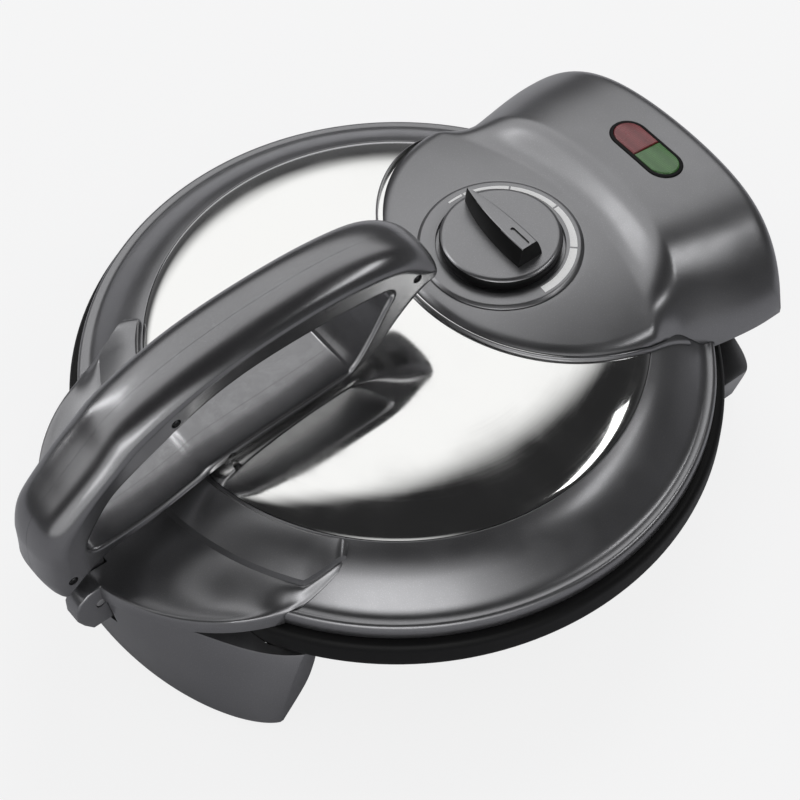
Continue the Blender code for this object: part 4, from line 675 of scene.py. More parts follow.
lidSizes = {
    "lip": 155.0, "dome": 121.5, "ringRise": 29.0, "domeRise": 12.0, "wall": 2.5, "sheet": 1.0, "fit": 0.3,
    "ledge": 3.0, "ledgeReach": 1.5, "hole": 27.0, "holeLow": 10.0, "holeHigh": 60.0, "knobY": 64.0,
    "turnSteps": 192, "lineSteps": 4,
}
ringShares = (
    (0.0, 0.0), (0.0, 0.21), (0.02, 0.27), (0.06, 0.30), (0.11, 0.30), (0.17, 0.315), (0.24, 0.37),
    (0.34, 0.48), (0.46, 0.61), (0.60, 0.75), (0.74, 0.865), (0.87, 0.945), (1.0, 1.0),
)
domeShares = (
    (1.0, 0.0), (0.985, 0.10), (0.955, 0.23), (0.90, 0.40), (0.82, 0.57), (0.70, 0.73),
    (0.55, 0.86), (0.38, 0.94), (0.20, 0.985), (0.0, 1.0),
)


def ringLine():
    band = lidSizes["lip"] - lidSizes["dome"]
    points = [(lidSizes["lip"] - band * a, lidSizes["ringRise"] * b) for a, b in ringShares]
    return points[:1] + smoothLine(points[1:], lidSizes["lineSteps"])


def domeLine(radius):
    points = [(radius * a, lidSizes["ringRise"] + lidSizes["domeRise"] * b) for a, b in domeShares]
    return smoothLine(points, lidSizes["lineSteps"])[:-1] + [(0.0, points[-1][1])]


ringTable = sorted((r, z) for r, z in ringLine()[1:])
domeTable = sorted((r, z) for r, z in domeLine(lidSizes["dome"]))


def lidHeight(radius):
    return lookUp(ringTable if radius >= lidSizes["dome"] else domeTable, radius)


def offsetLine(points, distance):
    # moves an open line to its left
    moved = []
    for k, point in enumerate(points):
        before, after = Vector(points[max(k - 1, 0)]), Vector(points[min(k + 1, len(points) - 1)])
        along = (after - before).normalized()
        moved.append((point[0] - along.y * distance, point[1] + along.x * distance))
    return moved


def lidEnvelope(gap, depth=40.0):
    # the lid's outside grown by a gap, for cutting what sits on it
    skin = offsetLine(ringLine()[:-1] + domeLine(lidSizes["dome"]), -gap)
    skin[0] = (lidSizes["lip"] + gap, -depth)
    skin[-1] = (0.0, skin[-1][1])
    return turned([(0.0, -depth)] + skin, lidSizes["turnSteps"])


def buildLidRing():
    sizes = lidSizes
    seat = sizes["ringRise"] - sizes["sheet"] - sizes["fit"]
    outer = ringLine()
    inner = offsetLine(outer[1:], sizes["wall"])
    inner = [p for p in inner if p[0] < sizes["lip"] - sizes["wall"] and p[1] < seat - sizes["wall"]]
    ledge = [
        (sizes["dome"], seat), (sizes["dome"] - sizes["ledge"], seat),
        (sizes["dome"] - sizes["ledge"], seat - sizes["wall"]),
        (sizes["dome"] + sizes["ledgeReach"], seat - sizes["wall"]),
    ]
    skirt = [(sizes["lip"] - sizes["wall"], inner[0][1]), (sizes["lip"] - sizes["wall"], 0.0)]
    outline = softCorners(outer + ledge + inner[::-1] + skirt, 0.7)
    ring = makePiece("lidRing", turned(outline, sizes["turnSteps"]), greyShell)
    return settle(ring, "lid", "grey_plastic", "lid_ring")


def buildDome():
    sizes = lidSizes
    outer = domeLine(sizes["dome"] - sizes["fit"])
    inner = [(r, z - sizes["sheet"]) for r, z in outer[::-2]]
    dome = makePiece("mirrorDome", turned(outer + inner, sizes["turnSteps"]), mirrorSteel)
    hole, low, high = sizes["hole"], sizes["holeLow"], sizes["holeHigh"]
    cutter = turned([(0, low), (hole, low), (hole, high), (0, high)], 64, (0, sizes["knobY"]))
    carve(dome, cutter)
    return settle(dome, "lid", "polished_steel", "dome")


buildLidRing()
buildDome()
print("lid ring and dome built")


# cooking plates and the pan that holds the upper one

plateSizes = {
    "radius": 125.0, "flange": 6.0, "flangeThickness": 2.0, "thickness": 5.0, "edge": 1.2,
    "upperFace": -0.9, "lowerFace": -1.2, "panTop": 2.3,
}


def plateOutline(face, direction, seat):
    sizes = plateSizes
    back = seat + direction * sizes["flangeThickness"]
    deep = max(face * direction + sizes["thickness"], back * direction - sizes["edge"]) * direction
    radius = sizes["radius"]
    return [
        (0.0, face), (radius - sizes["edge"], face), (radius, face + direction * sizes["edge"]),
        (radius, seat), (radius + sizes["flange"], seat), (radius + sizes["flange"], back),
        (radius - sizes["flange"], back), (radius - sizes["flange"], deep), (0.0, deep),
    ]


def buildPlates():
    sizes, fit = plateSizes, lidSizes["fit"]
    plates = {
        "upper": (sizes["upperFace"], 1, sizes["panTop"] + fit, "lid"),
        "lower": (sizes["lowerFace"], -1, sizes["lowerFace"] - sizes["flangeThickness"] - fit, "base"),
    }
    for name, (face, direction, seat, body) in plates.items():
        outline = softCorners(plateOutline(face, direction, seat), 0.8)
        plate = makePiece(name + "CookingPlate", turned(outline, lidSizes["turnSteps"]), cookingCoat)
        settle(plate, body, "dark_coating", name + "_plate")
    inner, outer = sizes["radius"] + fit, lidSizes["lip"] - lidSizes["wall"] - fit
    outline = softCorners([(inner, fit), (outer, fit), (outer, sizes["panTop"]), (inner, sizes["panTop"])], 0.5)
    pan = makePiece("lidPan", turned(outline, lidSizes["turnSteps"]), blackShell)
    settle(pan, "lid", "black_plastic", "lid_pan")


buildPlates()
print("cooking plates built")


# base bowl, its feet and pads

bowlSizes = {
    "rim": 160.0, "rimDepth": 17.0, "rimRound": 2.4, "depth": 53.0, "floor": 117.0, "neck": 9.0,
    "cover": 98.0, "wall": 2.5, "cutTop": 20.0, "cutFloor": -90.0,
}


def bowlLine():
    sizes, fit = bowlSizes, lidSizes["fit"]
    neck = sizes["rim"] - sizes["neck"]
    return [
        (sizes["rim"] - sizes["rimRound"], -fit), (sizes["rim"], -fit - sizes["rimRound"]),
        (sizes["rim"], sizes["rimRound"] - sizes["rimDepth"]),
        (sizes["rim"] - sizes["rimRound"], -sizes["rimDepth"]),
        (neck, -sizes["rimDepth"] - sizes["rimRound"]),
        (blend(neck, sizes["floor"], 0.5), -blend(sizes["rimDepth"], sizes["depth"], 0.62)),
        (sizes["floor"] + sizes["neck"], sizes["rimRound"] * 2 - sizes["depth"]),
        (sizes["floor"], -sizes["depth"]),
    ]


def buildBowl():
    sizes, plate, fit = bowlSizes, plateSizes, lidSizes["fit"]
    well = plate["radius"] + plate["flange"] + fit
    ledge = plate["radius"] + fit - plate["edge"] * 2
    shelf = plate["lowerFace"] - plate["flangeThickness"] * 2 - fit * 2
    wall, depth, neck = sizes["wall"], sizes["depth"], sizes["rim"] - sizes["neck"]
    inner = [
        (sizes["cover"], -depth), (sizes["cover"], wall - depth), (sizes["floor"] - wall, wall - depth),
        (sizes["floor"] + sizes["neck"] - wall, wall + sizes["rimRound"] * 2 - depth),
        (blend(neck, sizes["floor"], 0.5) - wall, wall - blend(sizes["rimDepth"], depth, 0.62)),
        (neck - wall, wall - sizes["rimDepth"]), (well, wall - sizes["rimDepth"]), (well, shelf - wall),
        (ledge, shelf - wall), (ledge, shelf), (well, shelf), (well, -fit),
    ]
    outline = softCorners(bowlLine() + inner, 2.4, 4)
    bowl = makePiece("baseBowl", turned(outline, lidSizes["turnSteps"]), blackShell)
    return settle(bowl, "base", "black_plastic", "base_shell")


def bowlEnvelope(gap):
    # the bowl's outside grown by a gap, for cutting the feet that it stands in
    top, floor = bowlSizes["cutTop"], bowlSizes["cutFloor"]
    grown = [(r + gap * 0.75, z - gap * 0.75) for r, z in bowlLine()]
    grown[0] = (grown[1][0], top)
    grown[-1] = (grown[-1][0], floor)
    return turned([(0.0, top)] + grown + [(0.0, floor)], lidSizes["turnSteps"])


frontFoot = {
    "topHalf": 93.0, "topNear": 126.0, "topFar": 190.5, "topFullness": 1.8, "floorHalf": 95.0,
    "floorNear": 143.0, "floorFar": 180.0, "floorFullness": 1.35, "back": 106.0, "shoulder": 0.58,
    "sideDepth": 22.0, "sideHeight": 37.0,
}
rearFoot = {
    "topHalf": 100.0, "topNear": 140.0, "topFar": 160.0, "topFullness": 0.9, "floorHalf": 86.0,
    "floorNear": 150.0, "floorFar": 169.0, "floorFullness": 1.0, "back": 104.0, "top": -19.0,
}
footShape = {
    "depth": 60.0, "bow": 0.85, "endAngle": 84.0, "wall": 3.0, "openBack": 20.0, "soft": 0.7, "columns": 96,
    "levels": 18,
}
footNotch = {"half": 22.0, "front": -211.0, "back": -162.0, "low": -24.5, "high": 30.0}
footFlank = {"half": 113.0, "low": -80.0, "high": 20.0}
footSideShares = ((0.0, 0.0), (0.64, 0.46), (0.9, 0.78), (1.0, 1.0))


def frontTop(x):
    start = frontFoot["topHalf"] * frontFoot["shoulder"]
    drop = ease((abs(x) - start) / (frontFoot["topHalf"] - start))
    return -blend(lidSizes["fit"], bowlSizes["rimDepth"] + bowlSizes["rimRound"], drop)


def rearTop(_):
    return rearFoot["top"]


def footGrids(foot, direction, top, inset, back):
    outer, inner = [], []
    for k in range(footShape["columns"] + 1):
        angle = radians(blend(-footShape["endAngle"], footShape["endAngle"], k / footShape["columns"]))
        highX = (foot["topHalf"] - inset) * sin(angle)
        lowX = (foot["floorHalf"] - inset) * sin(angle)
        highY = blend(foot["topNear"], foot["topFar"], cos(angle) ** foot["topFullness"]) - inset
        lowY = blend(foot["floorNear"], foot["floorFar"], cos(angle) ** foot["floorFullness"]) - inset
        highZ, lowZ = top(highX) - inset, inset - footShape["depth"]
        outerRow, innerRow = [], []
        for share in crowded(footShape["levels"]):
            x, z = blend(highX, lowX, share), blend(highZ, lowZ, share)
            y = blend(highY, lowY, share ** footShape["bow"])
            outerRow.append((x, direction * y, z))
            innerRow.append((x, direction * back, z))
        outer.append(outerRow)
        inner.append(innerRow)
    return outer, inner


glandSizes = {
    "x": -42.0, "drop": 40.0, "radius": 7.0, "flange": 9.5, "flangeWidth": 3.0, "flangeSlope": 0.6,
    "bore": 3.6, "length": 16.0, "ribs": 3, "ribStart": 0.9, "ribPitch": 1.6, "ribStep": 0.4,
    "holeStart": 149.0, "holeEnd": 189.0,
}
glandRibDepths = (0.2, 0.9, 0.9, 0.2)
padSizes = {"groove": 0.55, "grooveTop": 1.0, "grooveFloor": 0.6, "grooveDepth": 0.7}


def frontFootCutters():
    # a notch for the bracket's barrel, and the slopes under both flanks
    foot, notch, flank = frontFoot, footNotch, footFlank
    side = [(foot["sideDepth"] * a - foot["floorNear"], foot["sideHeight"] * b - footShape["depth"])
            for a, b in footSideShares]
    side = [(side[0][0] - 1, flank["low"])] + smoothLine(side, 5) + [(side[-1][0], flank["high"])]
    side += [(0.0, flank["high"]), (0.0, flank["low"])]
    return [
        boxOf((-notch["half"], notch["front"], notch["low"]), (notch["half"], notch["back"], notch["high"])),
        loft([[(x, y, z) for y, z in side] for x in (-flank["half"], flank["half"])]),
    ]


def rearFootCutters():
    # the hole for the gland
    sizes = glandSizes
    ends = [(sizes["x"], y, -sizes["drop"]) for y in (sizes["holeStart"], sizes["holeEnd"])]
    return [rodBetween(*ends, sizes["radius"] + lidSizes["fit"], 48, 0.0)]


def buildFoot(end, foot, direction, top, cutters):
    piece = makePiece(end + "Foot", slab(*footGrids(foot, direction, top, 0.0, foot["back"])), greyShell)
    inside = footGrids(foot, direction, top, footShape["wall"], foot["back"] - footShape["openBack"])
    for cutter in [slab(*inside), bowlEnvelope(lidSizes["fit"])] + cutters:
        carve(piece, cutter)
    softenEdges(piece, footShape["soft"])
    return settle(piece, "base", "grey_plastic", end + "_foot")


def buildGland():
    # strain relief: a flanged stub with shallow ribs
    sizes = glandSizes
    low, high = nodeBox("cord_gland")
    radius, start = sizes["radius"], low.y + sizes["length"] / 2 + lidSizes["fit"]
    end = start + sizes["flangeWidth"]
    ribs = []
    for k in range(sizes["ribs"]):
        at = end + sizes["ribStart"] + k * sizes["ribPitch"]
        ribs += [(radius - depth, at + sizes["ribStep"] * s) for s, depth in enumerate(glandRibDepths)]
    outline = [
        (sizes["bore"], low.y), (radius, low.y), (radius, start), (sizes["flange"], start),
        (sizes["flange"], end), (radius, end + sizes["flangeSlope"]),
    ] + [p for p in ribs if p[1] < high.y - 0.6] + [(radius - 1, high.y), (sizes["bore"], high.y)]
    build = turned(softCorners(outline, 0.5), 48)
    turn = Matrix.Translation((sizes["x"], 0, -sizes["drop"])) @ Matrix.Rotation(-pi / 2, 4, "X")
    bmesh.ops.transform(build, matrix=turn, verts=build.verts)
    return settle(makePiece("cordGland", build, blackShell), "base", "black_plastic", "cord_gland")


def buildPads():
    # round pads with a groove underneath
    sizes = padSizes
    for node in bothSides("rubber_pad_front", "rubber_pad_rear"):
        low, high = nodeBox(node)
        radius = (high.x - low.x) / 2
        groove, roof = radius * sizes["groove"], low.z + sizes["grooveDepth"]
        outline = [
            (0, high.z), (radius, high.z), (radius, low.z), (groove + sizes["grooveTop"], low.z),
            (groove + sizes["grooveFloor"], roof), (groove - sizes["grooveFloor"], roof),
            (groove - sizes["grooveTop"], low.z), (0, low.z),
        ]
        pad = turned(softCorners(outline, 0.6), 48, ((low.x + high.x) / 2, (low.y + high.y) / 2))
        name = "rubberPad" + node[len("rubber_pad"):].title().replace("_", "")
        settle(makePiece(name, pad, padRubber), "base", "black_rubber", node)


buildBowl()
buildFoot("front", frontFoot, -1, frontTop, frontFootCutters())
buildFoot("rear", rearFoot, 1, rearTop, rearFootCutters())
buildGland()
buildPads()
print("bowl, feet, gland and pads built")


# front bracket: a saddle over the ring with a crease, two wings and the barrel for the handle's pin

bracketSizes = {
    "wingRadius": 88.0, "wingCentre": 103.0, "halfAngle": 41.5, "skin": 3.6, "swell": 2.4, "inner": 2.0,
    "crease": 143.0, "creaseStep": 4.6, "wingEdge": 9.5, "wingDip": 3.2, "columns": 96, "rounding": 2.2,
    "endReach": 140.0, "endRounding": 5.0, "least": 0.9,
}
pivot = {
    "y": -189.0, "z": -3.0, "pin": 2.5, "tongueHalf": 10.0, "tongueRadius": 10.5, "tongueGap": 0.6,
    "cutReach": 40.0,
}
barrel = {"half": 21.0, "front": 13.0, "top": 12.5, "bottom": 16.5, "back": 26.0}


def wingReach(angle):
    sizes = bracketSizes
    across = sizes["wingCentre"] * sin(angle)
    return sizes["wingCentre"] * cos(angle) + sqrt(max(sizes["wingRadius"] ** 2 - across ** 2, 0.0))


def edgeDrop(distance, radius):
    # how far a rounded edge falls at a distance from the border
    if distance >= radius:
        return 0.0
    return radius - sqrt(max(radius ** 2 - (radius - distance) ** 2, 0.0))


def bracketRow(angle):
    sizes = bracketSizes
    lip, fit = lidSizes["lip"], lidSizes["fit"]
    inner = lidSizes["dome"] + sizes["inner"]
    reach = wingReach(angle)
    crease = min(sizes["crease"], blend(inner, reach, 0.72))
    row = []
    for share in [0.0, 0.015, 0.04, 0.08] + [blend(0.14, 1.0, k / 11) for k in range(12)]:
        radius = blend(inner, crease, share)
        lift = blend(sizes["skin"] * 0.4, sizes["skin"], sin(min(1.0, share / 0.08) * pi / 2))
        row.append((radius, lidHeight(radius) + lift + sizes["swell"] * share))
    start = row[-1][1] - sizes["creaseStep"]
    level = min(sizes["wingEdge"], start) if reach > lip else lidHeight(reach) + sizes["skin"] * 0.6
    for share in [0.02, 0.05] + [blend(0.1, 0.94, k / 13) for k in range(14)] + [0.965, 0.985, 1.0]:
        radius = blend(crease, reach, share)
        dip = sizes["wingDip"] * sin(pi * share) * ease((reach - lip) / 20)
        height = blend(start, level, ease(share)) - dip - edgeDrop(reach - radius, sizes["rounding"])
        floor = lidHeight(radius) + 1 if radius < lip else fit + 1
        row.append((radius, max(height, floor)))
    return row


def barrelOutline():
    front, back = pivot["y"] - barrel["front"], pivot["y"] + barrel["back"]
    top, bottom = pivot["z"] + barrel["top"], pivot["z"] - barrel["bottom"]
    nose = barrel["front"] * 0.45
    y, z, reach, fit = pivot["y"], pivot["z"], barrel["front"], lidSizes["fit"]
    return [
        (front, z + nose * 0.5), (front + nose * 0.4, top - nose * 0.8),
        (front + nose * 1.2, top - nose * 0.2), (y, top), (y + reach * 0.9, top - nose * 0.5),
        (y + reach * 1.3, fit + 1), (back, fit + 1), (back, fit), (y + reach, fit),
        (y + reach, bottom + nose * 0.8), (y + nose, bottom), (y - nose, bottom),
        (front + nose * 0.5, bottom + nose), (front, z - nose * 0.8),
    ]


def pinHole():
    # the bore for the handle's pin
    ends = [(x, pivot["y"], pivot["z"]) for x in (-pivot["cutReach"], pivot["cutReach"])]
    return rodBetween(*ends, pivot["pin"] + lidSizes["fit"], 32, 0.0)


def buildBracket():
    sizes = bracketSizes
    half = sizes["halfAngle"]
    top, low = [], []
    for share in crowded(sizes["columns"]):
        angle = radians(blend(-half, half, share))
        # the two ends are rounded over by the distance along the ring
        near = (radians(half) - abs(angle)) * sizes["endReach"]
        drop = edgeDrop(near, sizes["endRounding"])
        rows = bracketRow(angle)
        top.append([(r * sin(angle), -r * cos(angle), max(z - drop, sizes["least"])) for r, z in rows])
        low.append([(r * sin(angle), -r * cos(angle), lidSizes["fit"]) for r, z in rows])
    piece = makePiece("frontBracket", slab(top, low), greyShell, 30)
    outline = softCorners(barrelOutline()[::-1], 2.5, 3)
    for side in (-1, 1):
        near = side * (pivot["tongueHalf"] + pivot["tongueGap"])
        carve(piece, softPrism(outline, near, side * barrel["half"], acrossX, 1.2), "UNION", 30)
    carve(piece, lidEnvelope(lidSizes["fit"]), sharp=30)
    slot, reach = pivot["tongueHalf"] + pivot["tongueGap"], pivot["cutReach"]
    slotEnd = pivot["y"] + pivot["tongueRadius"] + 1
    carve(piece, boxOf((-slot, slotEnd - reach, -reach), (slot, slotEnd, reach)), sharp=30)
    carve(piece, pinHole(), sharp=30)
    return settle(piece, "lid", "grey_plastic", "front_bracket")


buildBracket()
print("front bracket built")


# press handle: two halves of a loop, with rounded outer edges and a soft opening

handleSizes = {
    "reach": 202.0, "height": 115.5, "nose": 21.0, "half": 18.0, "gap": 0.06, "steps": 6, "rounding": 9.0,
    "roundShare": 0.40, "bendShare": 0.38, "bendSpan": 4, "evenings": 24, "evenStep": 0.06, "edgeEnd": 0.08,
    "neckStart": 170.0, "neckEnd": 370.0, "neckRear": 0.27, "neckFront": 0.2, "sharp": 40,
}
handleShares = (
    (-0.066, 0.105), (-0.104, 0.200), (-0.104, 0.370), (-0.080, 0.515), (-0.012, 0.632), (0.072, 0.750),
    (0.153, 0.857), (0.292, 0.940), (0.431, 0.983), (0.574, 1.0), (0.713, 0.996), (0.837, 0.962),
    (0.921, 0.905), (0.975, 0.828), (1.0, 0.748), (0.990, 0.675), (0.941, 0.610), (0.886, 0.545),
    (0.842, 0.480), (0.797, 0.433), (0.713, 0.390), (0.540, 0.368), (0.391, 0.338), (0.267, 0.305),
    (0.163, 0.260), (0.050, 0.222),
)
openingShares = (
    (0.015, 0.325), (0.094, 0.318), (0.203, 0.335), (0.302, 0.372), (0.376, 0.405), (0.688, 0.430),
    (0.738, 0.455), (0.782, 0.550), (0.827, 0.682), (0.851, 0.758), (0.817, 0.798), (0.663, 0.828),
    (0.540, 0.836), (0.426, 0.824), (0.317, 0.780), (0.203, 0.693), (0.089, 0.589), (0.030, 0.468),
    (0.005, 0.385),
)
handleScrewShares = ((-0.050, 0.215), (0.258, 0.790), (0.391, 0.372), (0.925, 0.765))
handleEdge = (
    (0.0, 0.0), (0.18, 0.005), (0.36, 0.04), (0.54, 0.12), (0.70, 0.25), (0.84, 0.45), (0.94, 0.70),
    (0.985, 0.92), (1.0, 1.15),
)
openingEdge = ((0.0, 0.0), (0.88, 0.0), (0.93, 0.03), (0.97, 0.09), (0.992, 0.16), (1.0, 0.25), (1.0, 0.30))
screwSizes = {
    "recess": 2.5, "depth": 5.0, "head": 2.0, "headHeight": 2.0, "steps": 28, "crossLong": 1.25,
    "crossHalf": 0.28, "crossDepth": 0.9,
}


def handlePoints(shares):
    return [(pivot["y"] + handleSizes["reach"] * a, pivot["z"] + handleSizes["height"] * b) for a, b in shares]


def distanceToLoop(point, loop):
    point = Vector(point)
    best = 1e9
    for a, b in zip(loop, loop[1:] + loop[:1]):
        a, b = Vector(a), Vector(b)
        along = b - a
        share = max(0.0, min(1.0, (point - a).dot(along) / along.length_squared))
        best = min(best, (point - a - along * share).length)
    return best


def fillBand(build, outer, inner):
    # fills the flat band between two closed rings
    edges = []
    for ring in (outer, inner):
        for a, b in zip(ring, ring[1:] + ring[:1]):
            edges.append(build.edges.get((a, b)) or build.edges.new((a, b)))
    bmesh.ops.triangle_fill(build, edges=edges, use_beauty=True)


def roundingReach(outline, opening):
    # how far the rounding may eat in: less where the loop is slim and where its outline turns sharply
    sizes, count = handleSizes, len(outline)
    span = sizes["bendSpan"]
    reach = []
    for k, point in enumerate(outline):
        a, b, c = (Vector(outline[(k + s) % count]) for s in (-span, 0, span))
        turn = (b - a).cross(c - b) / ((b - a).length * (c - b).length)
        bend = (b - a).length / max(turn, 0.01)
        slim = distanceToLoop(point, opening)
        reach.append(min(sizes["rounding"], slim * sizes["roundShare"], bend * sizes["bendShare"]))
    for _ in range(sizes["evenings"]):
        around = [(reach[k - 1] + reach[(k + 1) % count]) / 2 + sizes["evenStep"] for k in range(count)]
        reach = [min(pair) for pair in zip(reach, around)]
    return reach


def handleShell():
    # the outer outline in rings from the parting plane outwards, and the opening's rings
    sizes, nose = handleSizes, pivot["y"] - handleSizes["nose"]
    points = handlePoints(handleShares)
    for k in (1, 2):
        points[k] = (nose, points[k][1])
    outline = [(max(y, nose), z) for y, z in smoothLine(points, sizes["steps"], True)][::-1]
    opening = smoothLine(handlePoints(openingShares), sizes["steps"], True)
    reach, normals = roundingReach(outline, opening), outward(outline)
    edge = smoothLine(handleEdge, 2)
    outer = []
    for depth, inset in edge + [(1.0, edge[-1][1] + sizes["edgeEnd"])]:
        x = blend(sizes["gap"], sizes["half"], depth)
        places = zip(outline, normals, reach)
        outer.append([(x, y - n.x * r * inset, z - n.y * r * inset) for (y, z), n, r in places])
    inner = []
    for depth, inset in openingEdge:
        x = blend(sizes["gap"], sizes["half"], depth)
        inner.append([(x, y, z) for y, z in grownPlan(opening, sizes["rounding"] * inset)])
    return outer, inner


def buildHandleHalf(side, sign):
    sizes, y0, z0, sharp = handleSizes, pivot["y"], pivot["z"], handleSizes["sharp"]
    build = bmesh.new()
    shell = []
    for rings in handleShell():
        shell.append(ringsOf(build, [[(sign * x, y, z) for x, y, z in ring] for ring in rings]))
        for ring, after in zip(shell[-1], shell[-1][1:]):
            joinRings(build, ring, after)
    for end in (0, -1):
        fillBand(build, shell[0][end], shell[1][end])
    piece = makePiece("handle" + side.title(), build, handlePlastic, sharp)
    radius, height = pivot["tongueRadius"], sizes["height"]
    neck = arcPoints(radius, (y0, z0), sizes["neckStart"], sizes["neckEnd"], 32)
    neck += [(y0 + radius, z0 + height * sizes["neckRear"]), (y0 - radius, z0 + height * sizes["neckFront"])]
    carve(piece, softPrism(neck, sign * sizes["gap"], sign * pivot["tongueHalf"], acrossX, 0.5), "UNION", sharp)
    carve(piece, pinHole(), sharp=sharp)
    if side == "right":
        start, end = sizes["half"] - screwSizes["depth"], sizes["half"] + 20
        for y, z in handlePoints(handleScrewShares):
            recess = rodBetween((start, y, z), (end, y, z), screwSizes["recess"], screwSizes["steps"], 0.0)
            carve(piece, recess, sharp=sharp)
    return settle(piece, "handle", "grey_plastic", "handle_" + side)


def buildHandleScrews():
    # pan heads deep in their recesses, each with a cross drive
    sizes = screwSizes
    seat = handleSizes["half"] - sizes["depth"] + lidSizes["fit"]
    top, low = seat + sizes["headHeight"], seat + sizes["headHeight"] - sizes["crossDepth"]
    cross = (sizes["crossLong"], sizes["crossHalf"])
    for k, (y, z) in enumerate(handlePoints(handleScrewShares)):
        shape = rodBetween((seat, y, z), (top, y, z), sizes["head"], sizes["steps"], 0.6)
        head = makePiece("handleScrew%d" % (k + 1), shape, screwSteel)
        for a, b in (cross, cross[::-1]):
            carve(head, boxOf((low, y - a, z - b), (top + 1, y + a, z + b)))
        settle(head, "handle", "plated_steel", "handle_screw_%d" % (k + 1))


def buildHandlePin():
    ends = [(corner.x, pivot["y"], pivot["z"]) for corner in nodeBox("handle_pin")]
    pin = rodBetween(*ends, pivot["pin"], 32, 0.5)
    settle(makePiece("handlePin", pin, platedSteel), "handle", "plated_steel", "handle_pin")


buildHandleHalf("left", -1)
buildHandleHalf("right", 1)
buildHandleScrews()
buildHandlePin()
print("press handle built")


# head cover: a draped disc that rises into an arched box over the hinge

headSizes = {
    "half": 85.0, "depth": 78.0, "centre": 92.0, "plane": 44.0, "drape": 400.0, "edge": 4.6,
    "edgeWidth": 6.5, "turn": 60.0, "boxStep": 110.0, "boxRise": 22.0, "boxRear": 188.0, "boxTop": 52.0,
    "rearDrop": 8.0, "boxHalf": 94.0, "flareStart": 95.0, "flareEnd": 160.0, "boxBottom": 4.0,
    "boxCurve": 180.0, "rearBend": 0.8, "archShare": 0.8, "archPower": 5.0, "wall": 2.5, "columns": 72,
    "rowSteps": 4, "shaftHole": 4.0, "shaftLow": 20.0, "shaftHigh": 60.0, "innerFloor": -20.0,
    "baseThickness": 2.0,
}
headRowShares = (
    (0.0, 0.0), (0.084, 0.047), (0.183, 0.096), (0.283, 0.144), (0.382, 0.198), (0.463, 0.251),
    (0.525, 0.300), (0.559, 0.346), (0.587, 0.390), (0.612, 0.429), (0.637, 0.466), (0.661, 0.505),
    (0.689, 0.544), (0.742, 0.627), (0.798, 0.710), (0.904, 0.866), (1.0, 1.0),
)
knobSizes = {
    "y": lidSizes["knobY"], "lift": 1.0, "radius": 30.0, "topRadius": 28.0, "height": 7.5,
    "finHeight": 10.5, "finReach": 27.0, "finHalf": 7.5, "bore": 3.3, "turnSteps": 96, "shadedWallLean": 0.62,
}
dialSizes = {"radius": 40.5, "flat": 38.8, "height": 1.6, "hole": 31.5}


def boxHalf(y):
    sizes = headSizes
    share = ease((y - sizes["flareStart"]) / (sizes["flareEnd"] - sizes["flareStart"]))
    return blend(sizes["half"], sizes["boxHalf"], share)


def halfWidth(y):
    sizes = headSizes
    if y < sizes["centre"]:
        return sizes["half"] * sqrt(max(0.0, 1 - ((sizes["centre"] - y) / sizes["depth"]) ** 2))
    return boxHalf(y)


def boxBend(x):
    return headSizes["boxCurve"] - sqrt(headSizes["boxCurve"] ** 2 - x ** 2)


def roofHeight(y):
    front = headSizes["boxStep"] + headSizes["boxRise"]
    return headSizes["boxTop"] - headSizes["rearDrop"] * (y - front) / (headSizes["boxRear"] - front)


def headHeight(x, y):
    sizes = headSizes
    reach = hypot(x, y - knobSizes["y"])
    disc = sizes["plane"] - max(0.0, reach ** 2 - dialSizes["radius"] ** 2) / (2 * sizes["drape"])
    run = y + boxBend(x)
    across = min(1.0, abs(x) / boxHalf(y))
    roof = blend(sizes["boxBottom"], roofHeight(run), 1 - sizes["archShare"] * across ** sizes["archPower"])
    return blend(disc, roof, ease((run - sizes["boxStep"]) / sizes["boxRise"]))


def headSide(y):
    sizes = headSizes
    if y < sizes["centre"]:
        lean = (sizes["centre"] - y) / (sizes["depth"] - sizes["edgeWidth"])
        return (sizes["half"] - sizes["edgeWidth"]) * sqrt(max(0.0, 1 - lean ** 2))
    return halfWidth(y) - sizes["edgeWidth"]


def headGrid(columns, rowSteps):
    sizes = headSizes
    turn = radians(sizes["turn"])
    front = sizes["centre"] - sizes["depth"] + sizes["edgeWidth"]
    frontEnd = sizes["centre"] - (sizes["depth"] - sizes["edgeWidth"]) * cos(turn)
    rear = sizes["boxRear"] - sizes["edgeWidth"]
    rearEnd = rear - sizes["rearBend"] * boxBend(sizes["boxHalf"] - sizes["edgeWidth"])
    rows = []
    for middleShare, endShare in smoothLine(headRowShares, rowSteps):
        middle, end = blend(front, rear, middleShare), blend(frontEnd, rearEnd, endShare)
        row = []
        for k in range(columns + 1):
            across = 2 * k / columns - 1
            bend = (1 - cos(turn * across)) / (1 - cos(turn))
            row.append((headSide(end) * sin(turn * across) / sin(turn), blend(middle, end, bend)))
        rows.append(row)
    return rows


def borderOf(rows):
    right = [row[-1] for row in rows[1:-1]]
    left = [row[0] for row in rows[-2:0:-1]]
    return rows[0] + right + rows[-1][::-1] + left


